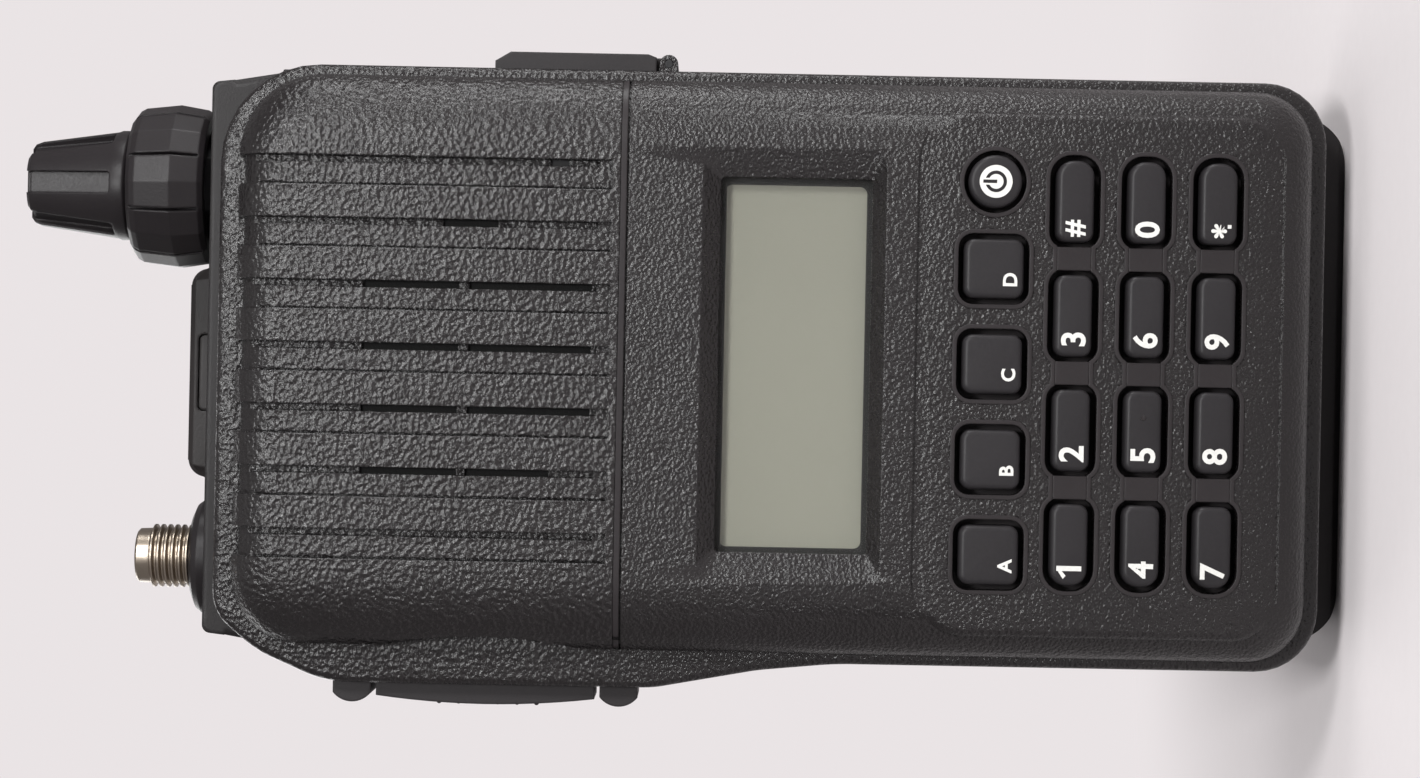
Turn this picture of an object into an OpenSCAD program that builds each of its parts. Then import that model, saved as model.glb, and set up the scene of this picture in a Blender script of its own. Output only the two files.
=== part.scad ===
/* [Front case] */
// Width of the front case across its flange
case_width = 56.8; // [56.4:0.1:57.4]
// Height of the front case's top edge above the base
case_top = 110.2; // [110:0.1:110.8]
// Height of the front case's bottom edge above the base
case_lift = 3.6; // [3.5:0.1:3.8]
// Depth from the front face to the back of the battery
body_depth = 30; // [29.6:0.1:30.6]
// Thickness of the moulded walls
wall = 1.8; // [1.7:0.05:1.9]
// Corner radius at the foot of the front case
foot_radius = 6; // [5.5:0.1:6.5]
// Corner radius at the top of the front case
crown_radius = 8; // [7.5:0.1:8.5]
// Rounding of the face into its sides
face_round = 3.8; // [3.5:0.1:4]
// How far the grip stands out past the side of the case
grip_stand = 2.7; // [2.5:0.1:3]
// Depth of the hollow for the fingers beside the talk bar
scoop_depth = 1.2; // [0.8:0.1:1.4]

/* [Speaker grille] */
// Distance from one grille channel to the next
channel_pitch = 5.887; // [5.8:0.01:5.95]
// Width of each grille channel
channel_width = 2.8; // [2.5:0.1:3]
// Depth of each grille channel
channel_depth = 0.6; // [0.4:0.05:0.7]
// Width of the narrow groove inside each channel
groove_width = 0.66; // [0.5:0.02:0.8]

/* [Display] */
// Width of the display window
window_width = 35.6; // [35:0.1:36]
// Height of the display window
window_height = 14.4; // [14:0.1:14.8]
// Width of the sloping frame around the window
bezel_slope = 2.6; // [2.2:0.1:2.8]

/* [Keypad] */
// Distance between number keys across the keypad
key_pitch_x = 10.8; // [10.6:0.05:11]
// Distance between number keys down the keypad
key_pitch_z = 6.76; // [6.6:0.02:6.9]
// Width of a number key
number_width = 7.9; // [7.6:0.05:8]
// Height of a number key
number_height = 3.9; // [3.6:0.05:4]
// Side of a function key
function_size = 6; // [5.8:0.05:6.1]
// Diameter of the power key
power_size = 5; // [4.8:0.05:5.2]
// Gap all round each key
key_gap = 0.35; // [0.32:0.01:0.4]
// Distance a front key moves when pressed
key_travel = 0.6; // [0.4:0.05:0.6]

/* [Side keys] */
// Length of the talk bar
talk_length = 21.2; // [20.8:0.1:21.4]
// Width of the side keys
side_key_width = 6.6; // [6.2:0.1:6.8]
// How far the side keys stand out past the grip
side_key_stand = 2.1; // [1.8:0.1:2.3]

/* [Top controls] */
// Distance from the centreline to the knobs' axis
knob_x = 17.1; // [16.8:0.1:17.3]
// Largest radius of the volume ring
ring_radius = 8.2; // [8:0.05:8.4]
// Radius of the dial knob at its foot
dial_radius = 5.5; // [5.3:0.05:5.6]
// Height of the dial knob
dial_height = 10.2; // [9.8:0.1:10.6]
// Distance from the centreline to the antenna connector
antenna_x = 20; // [19.6:0.1:20.2]
// Radius over the antenna connector's thread
thread_radius = 3.15; // [3.1:0.01:3.17]

/* [Jack cover] */
// Height of the jack cover plate
cover_height = 15.6; // [15.2:0.1:15.8]
// Thickness of the jack cover
cover_thick = 2; // [1.8:0.1:2.2]

/* [Battery] */
// How far the battery pack's sides stand in from the sides of the case
pack_inset = 2.4; // [2:0.1:2.7]
// Height of the battery pack
pack_height = 79.4; // [79:0.1:79.5]
// Corner radius of the battery pack's foot
pack_radius = 5; // [4.5:0.1:5.5]

/* [Belt clip] */
// Width of the belt clip's arm
clip_width = 22.2; // [21.8:0.1:22.6]
// Height of the clip's thumb tab above the base
tab_top = 118; // [117.5:0.1:118.5]
// Height of the clip's lower tip above the base
clip_tip = 34; // [30:0.5:38]
// Gap for the belt between the clip and the battery
belt_gap = 4.6; // [4.5:0.1:5]

/* [Hidden] */
$fn = 48;
eps = 0.01;
half_width = case_width / 2;
front_depth = 16;
seal_thick = 0.6;
plate_thick = 1.8;
back_y = (body_depth - front_depth - seal_thick - plate_thick) / 2;
face_y = back_y - body_depth;
inner_y = face_y + wall;
flange_y = face_y + 5.5;
case_back = face_y + front_depth;
plate_y = case_back + seal_thick;
bay_y = plate_y + plate_thick;
flange_wall_y = flange_y + wall;
raised_inset = 1.1;
raised_left = -half_width + raised_inset;
raised_right = half_width - raised_inset;
raised_bottom = case_lift + 1.8;
raised_top = case_top - 2.1;
scoop_radius = 43;
scoop_z = 84.6;
grip_x = -half_width - grip_stand;
grip_low = 66;
grip_high = 100;
step_z = 103;
cap_front = face_y + 10;
roof_z = case_top + 1.7;
roof_under = roof_z - wall;
front_room = half_width - 3.8;

channel_first = 19.27;
channel_foot = 72.2;
channel_head = 106.7;
channel_count = 7;
groove_deep = 1.1;
slot_low = [76.4, 83, 74, 74, 74, 77.8];
slot_high = [78.1, 88.2, 85.6, 85.6, 85.6, 85.7];
upper_slot_low = 86.6;
upper_slot_high = 95.7;
cross_low = 70.7;
cross_high = 71.8;

window_x = 0.2;
window_z = 54.7;
bezel_z = 54.95;
bezel_deep = 1.5;
ledge_y = face_y + 2.2;
lens_thick = 1.2;
lens_over = 1;
lens_back = ledge_y + lens_thick;
lcd_width = window_width - 0.9;
lcd_height = window_height - 1;

keypad_drop = 0.3;
plateau_y = face_y + keypad_drop;
plateau_left = -half_width + 3.3;
plateau_right = half_width - 3.8;
plateau_low = 8.7;
plateau_high = 43.3;
column_0 = 16.2;
row_0 = 28.48;
function_rise = 7.57;
function_z = row_0 + function_rise;
power_x = 17.92;
cap_y = face_y - 0.5;
key_flange_y = inner_y + 0.3;
key_flange_thick = 0.4;
key_flange_over = 0.5;
mat_y = key_flange_y + key_flange_thick + 0.6 + 0.4;
board_y = mat_y + 1.3;
board_thick = 1;
plunger_radius = 1.2;
guide_radius = plunger_radius + 0.05;
plunger_y = mat_y + 0.4;
web_width = 3.2;
web_stem = 1.2;

main_back = plate_y - 1.3;
main_front = main_back - 1.2;
board_foot = 9.6;
logic_top = 64.6;
main_top = 100;
main_half = half_width - wall - 1;
can_half = half_width - 10.4;
can_height = 3.2;
can_wall = 0.4;
can_low = 22;
can_high = 64;
boss_low_x = half_width - 8.4;
boss_low_z = case_lift + wall + 1.9;
boss_high_x = half_width - 5.5;
post_x = half_width - 5.4;
post_low_z = 14;
post_high_z = main_top - 8;
post_radius = 1.6;
boss_high_z = 67.2;
boss_radius = 1.9;
screw_radius = 0.95;
screw_head = 1.75;
screw_tip_y = plate_y - 6.6;

speaker_x = 0.5;
speaker_z = 86.2;
speaker_radius = 16;

side_key_y = face_y + 11.2;
side_open_low = 68.4;
side_open_high = 99;
talk_z = 83.85;
small_key_length = 3.7;
small_gap = 0.5;
side_wall_in = grip_x + wall;
side_flange_x = side_wall_in + 0.3;
side_flange_thick = 0.8;
side_frame_x = side_wall_in + 2.3;
side_plunger_x = side_frame_x + 0.5;

knob_y = face_y + 18;
ring_low = roof_z + 0.9;
ring_high = ring_low + 7.7;
ring_room = 5.9;
encoder_half = 5.8;
bushing_radius = 3.5;
bushing_top = roof_z + 2.7;
volume_radius = 3;
volume_bore = 2.05;
dial_shaft_radius = 1.99;
shaft_foot = roof_under - 6;
dial_low = ring_high + 0.35;
thread_pitch = 0.7056;
thread_depth = 0.4;
thread_count = 6;
thread_low = roof_z + 2.2;
thread_high = thread_low + thread_count * thread_pitch;
connector_top = thread_high + 1.35;

cover_low = 68.4;
cover_x = half_width - 0.3;
cover_y0 = face_y + 7;
cover_y1 = face_y + 15.4;
hinge_x = half_width + 0.8;
hinge_z = 67.2;
hinge_pin = 0.4;
knuckle = 0.9;
jack_y = face_y + 11.1;
jack_z = [cover_low + 4, cover_low + 11.2];
jack_radius = [1.28, 1.78];
jack_deep = 12;

pack_half = half_width - pack_inset;
pack_floor = 5;
foot_front = plate_y - 3.1;
foot_height = case_lift - 0.3;
foot_bevel = 1;
rail_half = half_width - 10.4;
rail_z = [22, 50];
rail_length = 8;
contact_pitch = 5;
contact_low = pack_height - 7.9;
contact_high = pack_height - 2.9;
terminal_half = 8.5;
terminal_low = pack_height - 8.4;
terminal_high = pack_height - 2.4;
pack_wall = 1.5;
pack_front_wall = 2.4;
lid_y = back_y - 1.8;
latch_half = 8;
latch_low = 2.2;
latch_high = 3.4;
latch_gap = 0.3;
latch_back = bay_y + 5.5;
latch_room = bay_y + 9;
nub_half = 4;
nub_y = bay_y + 1.2;
nub_length = 1.7;
nub_travel = 1.8;
lip_low = 1.1;

clip_x = -1.5;
pivot_y = back_y + 3.6;
pivot_z = roof_z - 11.9;
spring_crest = 1.65;
plate_low = pack_height + 7.1;
plate_high = roof_z - 5.9;
clip_screw_x = 7;
clip_screw_z = plate_low + 5.5;
clip_screw_radius = 1.5;
clip_screw_head = 2.7;
pin_radius = 1;
ear_in = clip_width / 2 - 2.6;
ear_out = clip_width / 2 - 0.6;
arm_y = back_y + belt_gap;
arm_thick = 1.8;
clip_plate_thick = 1.6;

case_black = [0.1, 0.1, 0.105];
chassis_grey = [0.16, 0.16, 0.17];
key_black = [0.13, 0.13, 0.14];
board_green = [0.05, 0.28, 0.14];
steel = [0.72, 0.72, 0.74];
gold = [0.85, 0.68, 0.32];

module panel(x0, x1, y0, y1, r0, r1) {
  translate([x0 + r0, y0]) square([x1 - x0 - 2 * r0, r0 + eps]);
  translate([x0, y0 + r0]) square([x1 - x0, y1 - y0 - r0 - r1]);
  translate([x0 + r1, y1 - r1 - eps]) square([x1 - x0 - 2 * r1, r1 + eps]);
  translate([x0 + r0, y0 + r0]) circle(r0);
  translate([x1 - r0, y0 + r0]) circle(r0);
  translate([x0 + r1, y1 - r1]) circle(r1);
  translate([x1 - r1, y1 - r1]) circle(r1);
}

module slab_y(y0, y1) {
  translate([0, y1, 0]) rotate([90, 0, 0]) linear_extrude(y1 - y0) children();
}

module slab_x(x0, x1) {
  translate([x0, 0, 0]) rotate([90, 0, 90]) linear_extrude(x1 - x0) children();
}

module slab_z(z0, z1) {
  translate([0, 0, z0]) linear_extrude(z1 - z0) children();
}

module block(x0, x1, y0, y1, z0, z1) {
  translate([x0, y0, z0]) cube([x1 - x0, y1 - y0, z1 - z0]);
}

module rod_y(x, z, y0, y1, r) {
  translate([x, y1, z]) rotate([90, 0, 0]) cylinder(h = y1 - y0, r = r);
}

module rod_x(y, z, x0, x1, r) {
  translate([x0, y, z]) rotate([0, 90, 0]) cylinder(h = x1 - x0, r = r);
}

module rod_z(x, y, z0, z1, r) {
  translate([x, y, z0]) cylinder(h = z1 - z0, r = r);
}

module grip_outline(x_out) {
  polygon([[-20, 107.4], [-half_width + 1, 106.9], [x_out + 2, 103.8],
    [x_out + 0.6, 100.8], [x_out, 97.8], [x_out, 69], [x_out + 0.9, 63.8],
    [x_out + 1.9, 58], [-half_width, 50], [-20, 50]]);
}

module case_outline() {
  panel(-half_width, half_width, case_lift, case_top, foot_radius, crown_radius);
  grip_outline(grip_x);
}

module raised_outline() {
  difference() {
    panel(raised_left, raised_right, raised_bottom, raised_top, foot_radius - 1, crown_radius - 2);
    translate([raised_left - scoop_radius + scoop_depth, scoop_z]) circle(scoop_radius, $fn = 96);
  }
}

module raised_body() {
  intersection() {
    slab_y(face_y, flange_y + eps) raised_outline();
    slab_z(0, roof_z)
      panel(raised_left, raised_right, face_y, flange_y + 6, face_round, 1);
    slab_x(raised_left - 1, raised_right + 1)
      panel(face_y, flange_y + 8, raised_bottom, raised_top, face_round + 0.5, face_round + 0.5);
  }
}

module front_room_cut() {
  slab_y(inner_y, flange_wall_y + eps)
    panel(-front_room, front_room + 0.8, raised_bottom + wall, raised_top - wall, 3, 3);
  slab_y(flange_wall_y, case_back + 1)
    panel(-half_width + wall, half_width - wall, case_lift + wall, case_top - wall, 3, 4);
  block(side_wall_in, -half_width + wall + 1, flange_y + 1.5, case_back + 1, grip_low, grip_high);
}

module grille_cuts() {
  for (i = [0 : channel_count - 1]) {
    right = channel_first - i * channel_pitch;
    block(right - channel_width, right, face_y - 1, face_y + channel_depth, channel_foot, channel_head);
    block(right - groove_width, right, face_y - 1, face_y + groove_deep, channel_foot + 1.6, channel_head - 0.4);
  }
  for (i = [0 : 5]) {
    right = channel_first - i * channel_pitch;
    block(right - groove_width, right, face_y - 1, inner_y + 1, slot_low[i], slot_high[i]);
  }
  for (i = [2 : 5]) {
    right = channel_first - i * channel_pitch;
    block(right - groove_width, right, face_y - 1, inner_y + 1, upper_slot_low, upper_slot_high);
  }
  block(-half_width, half_width, face_y - 1, face_y + 0.5, cross_low, cross_high);
}

module bezel_cut() {
  in_x = window_width / 2;
  out_x = in_x + bezel_slope;
  in_z = window_height / 2;
  out_z = in_z + 1.5;
  intersection() {
    slab_z(bezel_z - out_z, bezel_z + out_z)
      polygon([[window_x - out_x, face_y - 0.01], [window_x + out_x, face_y - 0.01],
        [window_x + in_x, face_y + bezel_deep], [window_x - in_x, face_y + bezel_deep]]);
    slab_x(window_x - out_x, window_x + out_x)
      polygon([[face_y - 0.01, bezel_z - out_z], [face_y - 0.01, bezel_z + out_z],
        [face_y + bezel_deep, window_z + in_z], [face_y + bezel_deep, window_z - in_z]]);
  }
}

module window_shape(more) {
  half_x = window_width / 2 + more;
  half_z = window_height / 2 + more;
  panel(window_x - half_x, window_x + half_x, window_z - half_z, window_z + half_z, 0.4, 0.4);
}

module number_shape(more) {
  half_x = number_width / 2 + more;
  half_z = number_height / 2 + more;
  panel(-half_x, half_x, -half_z, half_z, 0.9 + more, 0.9 + more);
}

module function_shape(more) {
  half = function_size / 2 + more;
  panel(-half, half, -half, half, 0.9 + more, 0.9 + more);
}

module at_number(column, row) {
  translate([column_0 - column * key_pitch_x, 0, row_0 - row * key_pitch_z]) children();
}

module at_function(index) {
  translate([-17.3 + index * 9, 0, function_z]) children();
}

module key_wells() {
  for (row = [0 : 2]) {
    for (column = [0 : 3]) {
      at_number(column, row) slab_y(face_y - 1, inner_y + 1) number_shape(key_gap);
    }
    for (column = [0 : 2]) {
      at_number(column + 0.5, row) web_block(key_pitch_x - number_width, face_y - 1, inner_y + 1);
    }
  }
  for (index = [0 : 3]) {
    at_function(index) slab_y(face_y - 1, inner_y + 1) function_shape(key_gap);
  }
  rod_y(power_x, function_z, face_y - 1, inner_y + 1, power_size / 2 + key_gap);
}

module web_block(length, y0, y1) {
  block(-length / 2, length / 2, y0, y1, -web_width / 2, web_width / 2);
}

module boss_places() {
  for (side = [-1, 1]) {
    translate([side * boss_low_x, 0, boss_low_z]) children();
    translate([side * boss_high_x, 0, boss_high_z]) children();
  }
}

module front_case() {
  color(case_black)
  difference() {
    union() {
      difference() {
        union() {
          slab_y(flange_y, case_back) case_outline();
          raised_body();
        }
        front_room_cut();
      }
      slab_y(inner_y - 0.1, lens_back) window_shape(lens_over + 1.4);
      boss_places() rod_y(0, 0, inner_y - 0.1, plate_y, boss_radius);
      for (y0 = [cover_y0 + 0.1, cover_y1 - 1.2]) {
        block(half_width - 0.7, hinge_x, y0, y0 + 1.1, hinge_z - knuckle, hinge_z + knuckle);
        rod_y(hinge_x, hinge_z, y0, y0 + 1.1, knuckle);
      }
    }
    block(-40, 40, cap_front, 30, step_z, 130);
    grille_cuts();
    bezel_cut();
    slab_y(face_y - 1, inner_y + 3) window_shape(0);
    slab_y(ledge_y, lens_back + 1) window_shape(lens_over);
    slab_y(face_y - 1, plateau_y)
      panel(plateau_left, plateau_right, plateau_low, plateau_high, 4, 5);
    key_wells();
    boss_places() rod_y(0, 0, screw_tip_y, plate_y + 1, screw_radius);
    block(grip_x - 1, side_wall_in + 0.1, side_key_y - side_key_width / 2 - 0.3,
      side_key_y + side_key_width / 2 + 0.3, side_open_low, side_open_high);
    block(cover_x - 0.3, half_width + 2, cover_y0 - 0.3, cover_y1 + 0.3,
      hinge_z + knuckle, cover_low + cover_height + 0.4);
    block(cover_x - 0.3, half_width + 2, cover_y0 + 1.2, cover_y1 - 1.2,
      hinge_z - knuckle - 0.5, hinge_z + knuckle + 0.1);
    for (i = [0, 1]) {
      rod_x(jack_y, jack_z[i], half_width - wall - 1, half_width, jack_radius[i] + 0.6);
    }
    rod_y(hinge_x, hinge_z, cover_y0, cover_y1, hinge_pin);
  }
}

module seal_outline(inset, low, high) {
  panel(-half_width + inset, half_width - inset, low + inset, high - inset, foot_radius - inset, 0.3);
}

module main_seal() {
  color([0.05, 0.05, 0.05]) {
    slab_y(case_back, plate_y)
      difference() {
        seal_outline(0.6, case_lift, step_z + 0.6);
        seal_outline(1.5, case_lift, step_z + 3);
      }
    block(-half_width + 3, half_width - 3, cap_front - 0.001, cap_front + 0.3, step_z + 1, step_z + 1.8);
  }
}

module chassis_outline() {
  difference() {
    union() {
      panel(-half_width + 0.1, half_width - 0.1, case_lift + 0.2, step_z + 2, foot_radius, 0.2);
      polygon([[-half_width + 0.1, step_z], [half_width - 0.1, step_z],
        [half_width - 1.4, roof_z - 1.3], [half_width - 2.7, roof_z],
        [-half_width + 2.7, roof_z], [-half_width + 1.4, roof_z - 1.3]]);
    }
    translate([-40, step_z + 0.5]) square([11.7, 20]);
    translate([half_width - 0.1, step_z + 0.5]) square([11.7, 20]);
  }
}

module rear_chassis() {
  color(chassis_grey)
  difference() {
    union() {
      intersection() {
        slab_y(cap_front + 0.3, back_y) chassis_outline();
        union() {
          slab_x(-40, 40)
            polygon([[plate_y, 0], [bay_y, 0], [bay_y, pack_height + 0.6], [back_y, pack_height + 0.6],
              [back_y, roof_z - 2.5], [back_y - 2.5, roof_z + 1], [cap_front + 0.3, roof_z + 1],
              [cap_front + 0.3, step_z + 0.3], [plate_y, step_z + 0.3]]);
        }
      }
      slab_y(plate_y, plate_y + 4.2)
        intersection() {
          grip_outline(grip_x + 0.1);
          translate([grip_x - 1, 0]) square([1 - grip_x - pack_half - 0.4, step_z - 1]);
        }
      block(-latch_half - 3, latch_half + 3, plate_y, bay_y, lip_low, case_lift + 4);
      for (side = [-1, 1]) {
        for (z0 = rail_z) {
          block(side * rail_half - 0.9, side * rail_half + 0.9, bay_y - 0.1, bay_y + 1.2,
            z0, z0 + rail_length);
        }
        rod_y(side * post_x, post_low_z, main_back, plate_y + 0.1, post_radius);
        rod_y(side * post_x, post_high_z, main_back, plate_y + 0.1, post_radius);
      }
    }
    block(-half_width + wall, half_width - wall, cap_front + 0.3 + wall, back_y - wall, step_z, roof_under);
    block(-half_width + wall + 1, half_width - wall - 1, plate_y + 3, back_y - wall,
      pack_height + 0.6 + wall, step_z + 0.1);
    block(-half_width + 6, half_width - 6, plate_y - 1, plate_y + 3.1, pack_height + 6, step_z + 0.1);
    rod_z(knob_x, knob_y, roof_under - 1, roof_z + 1, bushing_radius);
    rod_z(-antenna_x, knob_y, roof_under - 1, roof_z + 1, thread_radius - thread_depth);
    boss_places() {
      rod_y(0, 0, plate_y - 1, bay_y + 1, screw_radius + 0.15);
      rod_y(0, 0, bay_y - 1.1, bay_y + 1, screw_head + 0.1);
    }
    latch_slot(plate_y - 1, bay_y + 1);
    block(-terminal_half, terminal_half, plate_y - 1, bay_y + 1, terminal_low, terminal_high);
    for (side = [-1, 1]) {
      rod_y(clip_x + side * clip_screw_x, clip_screw_z, back_y - wall - 1, back_y + 1, clip_screw_radius);
    }
  }
}

module display_lens() {
  color([0.75, 0.8, 0.78, 0.35]) slab_y(ledge_y, lens_back) window_shape(lens_over);
}

module lcd_shape() {
  panel(window_x - lcd_width / 2, window_x + lcd_width / 2,
    window_z - lcd_height / 2 - 0.05, window_z + lcd_height / 2 - 0.05, 0.2, 0.2);
}

module lcd_panel() {
  color([0.6, 0.63, 0.56]) slab_y(lens_back + 0.1, board_y) lcd_shape();
}

module lcd_holder() {
  color([0.04, 0.04, 0.04])
  slab_y(lens_back, board_y)
    difference() {
      window_shape(1.6);
      lcd_shape();
    }
}

module keypad_mat() {
  color([0.07, 0.07, 0.075])
  difference() {
    union() {
      slab_y(mat_y, board_y) panel(-front_room + 1, front_room - 1, plateau_low + 1.7, plateau_high - 1.9, 2, 2);
      for (row = [0 : 2]) {
        for (column = [0 : 2]) {
          at_number(column + 0.5, row) {
            web_block(web_stem, inner_y - 0.1, mat_y + 0.1);
            web_block(key_pitch_x - number_width - 2 * key_gap, plateau_y - 0.2, inner_y);
          }
        }
      }
    }
    key_guides();
  }
}

module key_guides() {
  for (row = [0 : 2]) {
    for (column = [0 : 3]) {
      at_number(column, row) rod_y(0, 0, mat_y - 1, board_y + 1, guide_radius);
    }
  }
  for (index = [0 : 3]) {
    at_function(index) rod_y(0, 0, mat_y - 1, board_y + 1, guide_radius);
  }
  rod_y(power_x, function_z, mat_y - 1, board_y + 1, guide_radius);
}

module logic_board() {
  color(board_green)
  slab_y(board_y, board_y + board_thick) panel(-front_room + 0.4, front_room + 0.4, board_foot, logic_top, 1, 1);
}

module key_stem() {
  rod_y(0, 0, key_flange_y, plunger_y, plunger_radius);
}

module number_key(column, row) {
  color(key_black)
  at_number(column, row) {
    slab_y(cap_y, key_flange_y + 0.1) number_shape(0);
    slab_y(key_flange_y, key_flange_y + key_flange_thick) number_shape(key_flange_over);
    key_stem();
  }
}

module function_key(index) {
  color(key_black)
  at_function(index) {
    slab_y(cap_y, key_flange_y + 0.1) function_shape(0);
    slab_y(key_flange_y, key_flange_y + key_flange_thick) function_shape(key_flange_over);
    key_stem();
  }
}

module key_1() {
  number_key(3, 0);
}

module key_2() {
  number_key(2, 0);
}

module key_3() {
  number_key(1, 0);
}

module key_hash() {
  number_key(0, 0);
}

module key_4() {
  number_key(3, 1);
}

module key_5() {
  number_key(2, 1);
}

module key_6() {
  number_key(1, 1);
}

module key_0() {
  number_key(0, 1);
}

module key_7() {
  number_key(3, 2);
}

module key_8() {
  number_key(2, 2);
}

module key_9() {
  number_key(1, 2);
}

module key_star() {
  number_key(0, 2);
}

module key_a() {
  function_key(0);
}

module key_b() {
  function_key(1);
}

module key_c() {
  function_key(2);
}

module key_d() {
  function_key(3);
}

module power_key() {
  color(key_black)
  translate([power_x, 0, function_z]) {
    rod_y(0, 0, cap_y, key_flange_y + 0.1, power_size / 2);
    rod_y(0, 0, key_flange_y, key_flange_y + key_flange_thick, power_size / 2 + key_flange_over);
    key_stem();
  }
}

module side_flange(z0, z1) {
  block(side_flange_x, side_flange_x + side_flange_thick, side_key_y - side_key_width / 2 - 0.7,
    side_key_y + side_key_width / 2 + 0.7, z0, z1);
  rod_x(side_key_y, (z0 + z1) / 2, side_flange_x, side_plunger_x, plunger_radius);
}

module talk_bar() {
  z0 = talk_z - talk_length / 2;
  z1 = talk_z + talk_length / 2;
  crown = 83;
  color([0.08, 0.08, 0.085]) {
    intersection() {
      block(grip_x - side_key_stand, side_flange_x + 0.1, side_key_y - side_key_width / 2,
        side_key_y + side_key_width / 2, z0, z1);
      rod_y(grip_x - side_key_stand + crown, talk_z, -20, 20, crown, $fn = 96);
    }
    for (i = [0 : 5]) {
      rod_y(grip_x - side_key_stand + 0.1, talk_z + (i - 2.6) * 1.9, side_key_y - 2, side_key_y + 2, 0.25);
    }
    side_flange(z0, z1);
  }
}

module small_side_key(z0) {
  z1 = z0 + small_key_length;
  dome = 2.35;
  color([0.08, 0.08, 0.085]) {
    intersection() {
      block(grip_x - side_key_stand, side_flange_x + 0.1, side_key_y - side_key_width / 2,
        side_key_y + side_key_width / 2, z0, z1);
      union() {
        rod_y(grip_x - side_key_stand + dome, (z0 + z1) / 2, -20, 20, dome);
        block(grip_x - side_key_stand + dome, 0, -20, 20, z0, z1);
      }
    }
    side_flange(z0, z1);
  }
}

module upper_side_key() {
  small_side_key(talk_z + talk_length / 2 + small_gap);
}

module lower_side_key() {
  small_side_key(talk_z - talk_length / 2 - small_gap - small_key_length);
}

module side_key_frame() {
  z_up = talk_z + talk_length / 2 + small_gap + small_key_length / 2;
  z_down = talk_z - talk_length / 2 - small_gap - small_key_length / 2;
  color([0.2, 0.2, 0.21])
  difference() {
    block(side_frame_x, side_frame_x + 0.8, flange_wall_y, case_back - 0.1, grip_low, grip_high);
    for (z = [z_up, talk_z, z_down]) {
      rod_x(side_key_y, z, side_frame_x - 1, side_frame_x + 2, guide_radius);
    }
  }
}

module dial_knob() {
  top = dial_low + dial_height;
  color(case_black)
  translate([knob_x, knob_y, 0])
  difference() {
    rotate_extrude()
      polygon([[0, dial_low], [dial_radius - 0.1, dial_low], [dial_radius, dial_low + 0.3],
        [dial_radius, dial_low + 1.6], [dial_radius - 0.9, top - 1], [dial_radius - 1.4, top - 0.2],
        [dial_radius - 1.9, top], [0, top]]);
    for (i = [0 : 5]) {
      rotate([0, 0, 60 * i - 90])
        translate([dial_radius - 1.1, -1, dial_low + 1.7])
          rotate([0, -5.5, 0]) cube([3, 2, 12]);
    }
    translate([0, 0, dial_low - 1]) cylinder(h = dial_height - 1, r = dial_shaft_radius);
  }
}

module dial_shaft() {
  color(steel)
  rod_z(knob_x, knob_y, shaft_foot, dial_low + dial_height - 2, dial_shaft_radius);
}

module volume_ring() {
  color(case_black)
  translate([knob_x, knob_y, 0])
  difference() {
    rotate_extrude()
      polygon([[volume_radius, ring_low], [ring_radius - 0.7, ring_low],
        [ring_radius, ring_low + 3.2], [ring_radius - 0.45, ring_high - 1],
        [ring_radius - 1.1, ring_high - 0.2], [ring_radius - 2.2, ring_high],
        [volume_radius, ring_high]]);
    for (i = [0 : 8]) {
      rotate([0, 0, 40 * i - 100])
        translate([ring_radius - 0.55, -1.35, ring_low + 0.8]) cube([2, 2.7, 6]);
    }
    translate([0, 0, ring_low - 1]) cylinder(h = 3.4, r = ring_room);
  }
}

module volume_shaft() {
  color(steel)
  difference() {
    rod_z(knob_x, knob_y, shaft_foot, ring_high - 0.5, volume_radius);
    rod_z(knob_x, knob_y, shaft_foot - 1, ring_high + 1, volume_bore);
  }
}

module encoder() {
  color([0.3, 0.32, 0.34])
  difference() {
    union() {
      block(knob_x - encoder_half, knob_x + encoder_half, knob_y - encoder_half, knob_y + encoder_half,
        roof_under - 7, roof_under);
      rod_z(knob_x, knob_y, roof_under - 1, bushing_top, bushing_radius);
    }
    rod_z(knob_x, knob_y, shaft_foot - 0.3, bushing_top + 1, volume_radius + 0.06);
  }
}

module encoder_nut() {
  color(steel)
  difference() {
    translate([knob_x, knob_y, roof_z]) cylinder(h = 1.8, r = 5.2, $fn = 6);
    rod_z(knob_x, knob_y, roof_z - 1, roof_z + 3, bushing_radius);
  }
}

module thread_profile() {
  core = thread_radius - thread_depth;
  polygon(concat(
    [[2.1, roof_under - 3], [core, roof_under - 3], [core, thread_low]],
    [for (i = [0 : thread_count - 1]) for (k = [0 : 3])
      [k == 0 || k == 3 ? core : thread_radius, thread_low + (i + [0.1, 0.38, 0.62, 0.9][k]) * thread_pitch]],
    [[core, thread_high + 0.1], [core - 0.05, connector_top - 0.2],
      [core - 0.25, connector_top], [2.1, connector_top]]));
}

module antenna_connector() {
  color(steel)
  translate([-antenna_x, knob_y, 0]) {
    rotate_extrude() thread_profile();
    difference() {
      block(-4.7, 4.7, -4.7, 4.7, roof_under - 2, roof_under);
      translate([0, 0, roof_under - 3]) cylinder(h = 4, r = 2.4);
    }
  }
}

module antenna_insulator() {
  color([0.93, 0.93, 0.9])
  difference() {
    rod_z(-antenna_x, knob_y, roof_under - 3, connector_top - 0.7, 2.1);
    rod_z(-antenna_x, knob_y, roof_under - 4, connector_top, 0.64);
  }
}

module antenna_contact() {
  color(gold)
  difference() {
    rod_z(-antenna_x, knob_y, roof_under - 4.5, connector_top - 0.9, 0.64);
    rod_z(-antenna_x, knob_y, connector_top - 4, connector_top, 0.46);
  }
}

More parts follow.
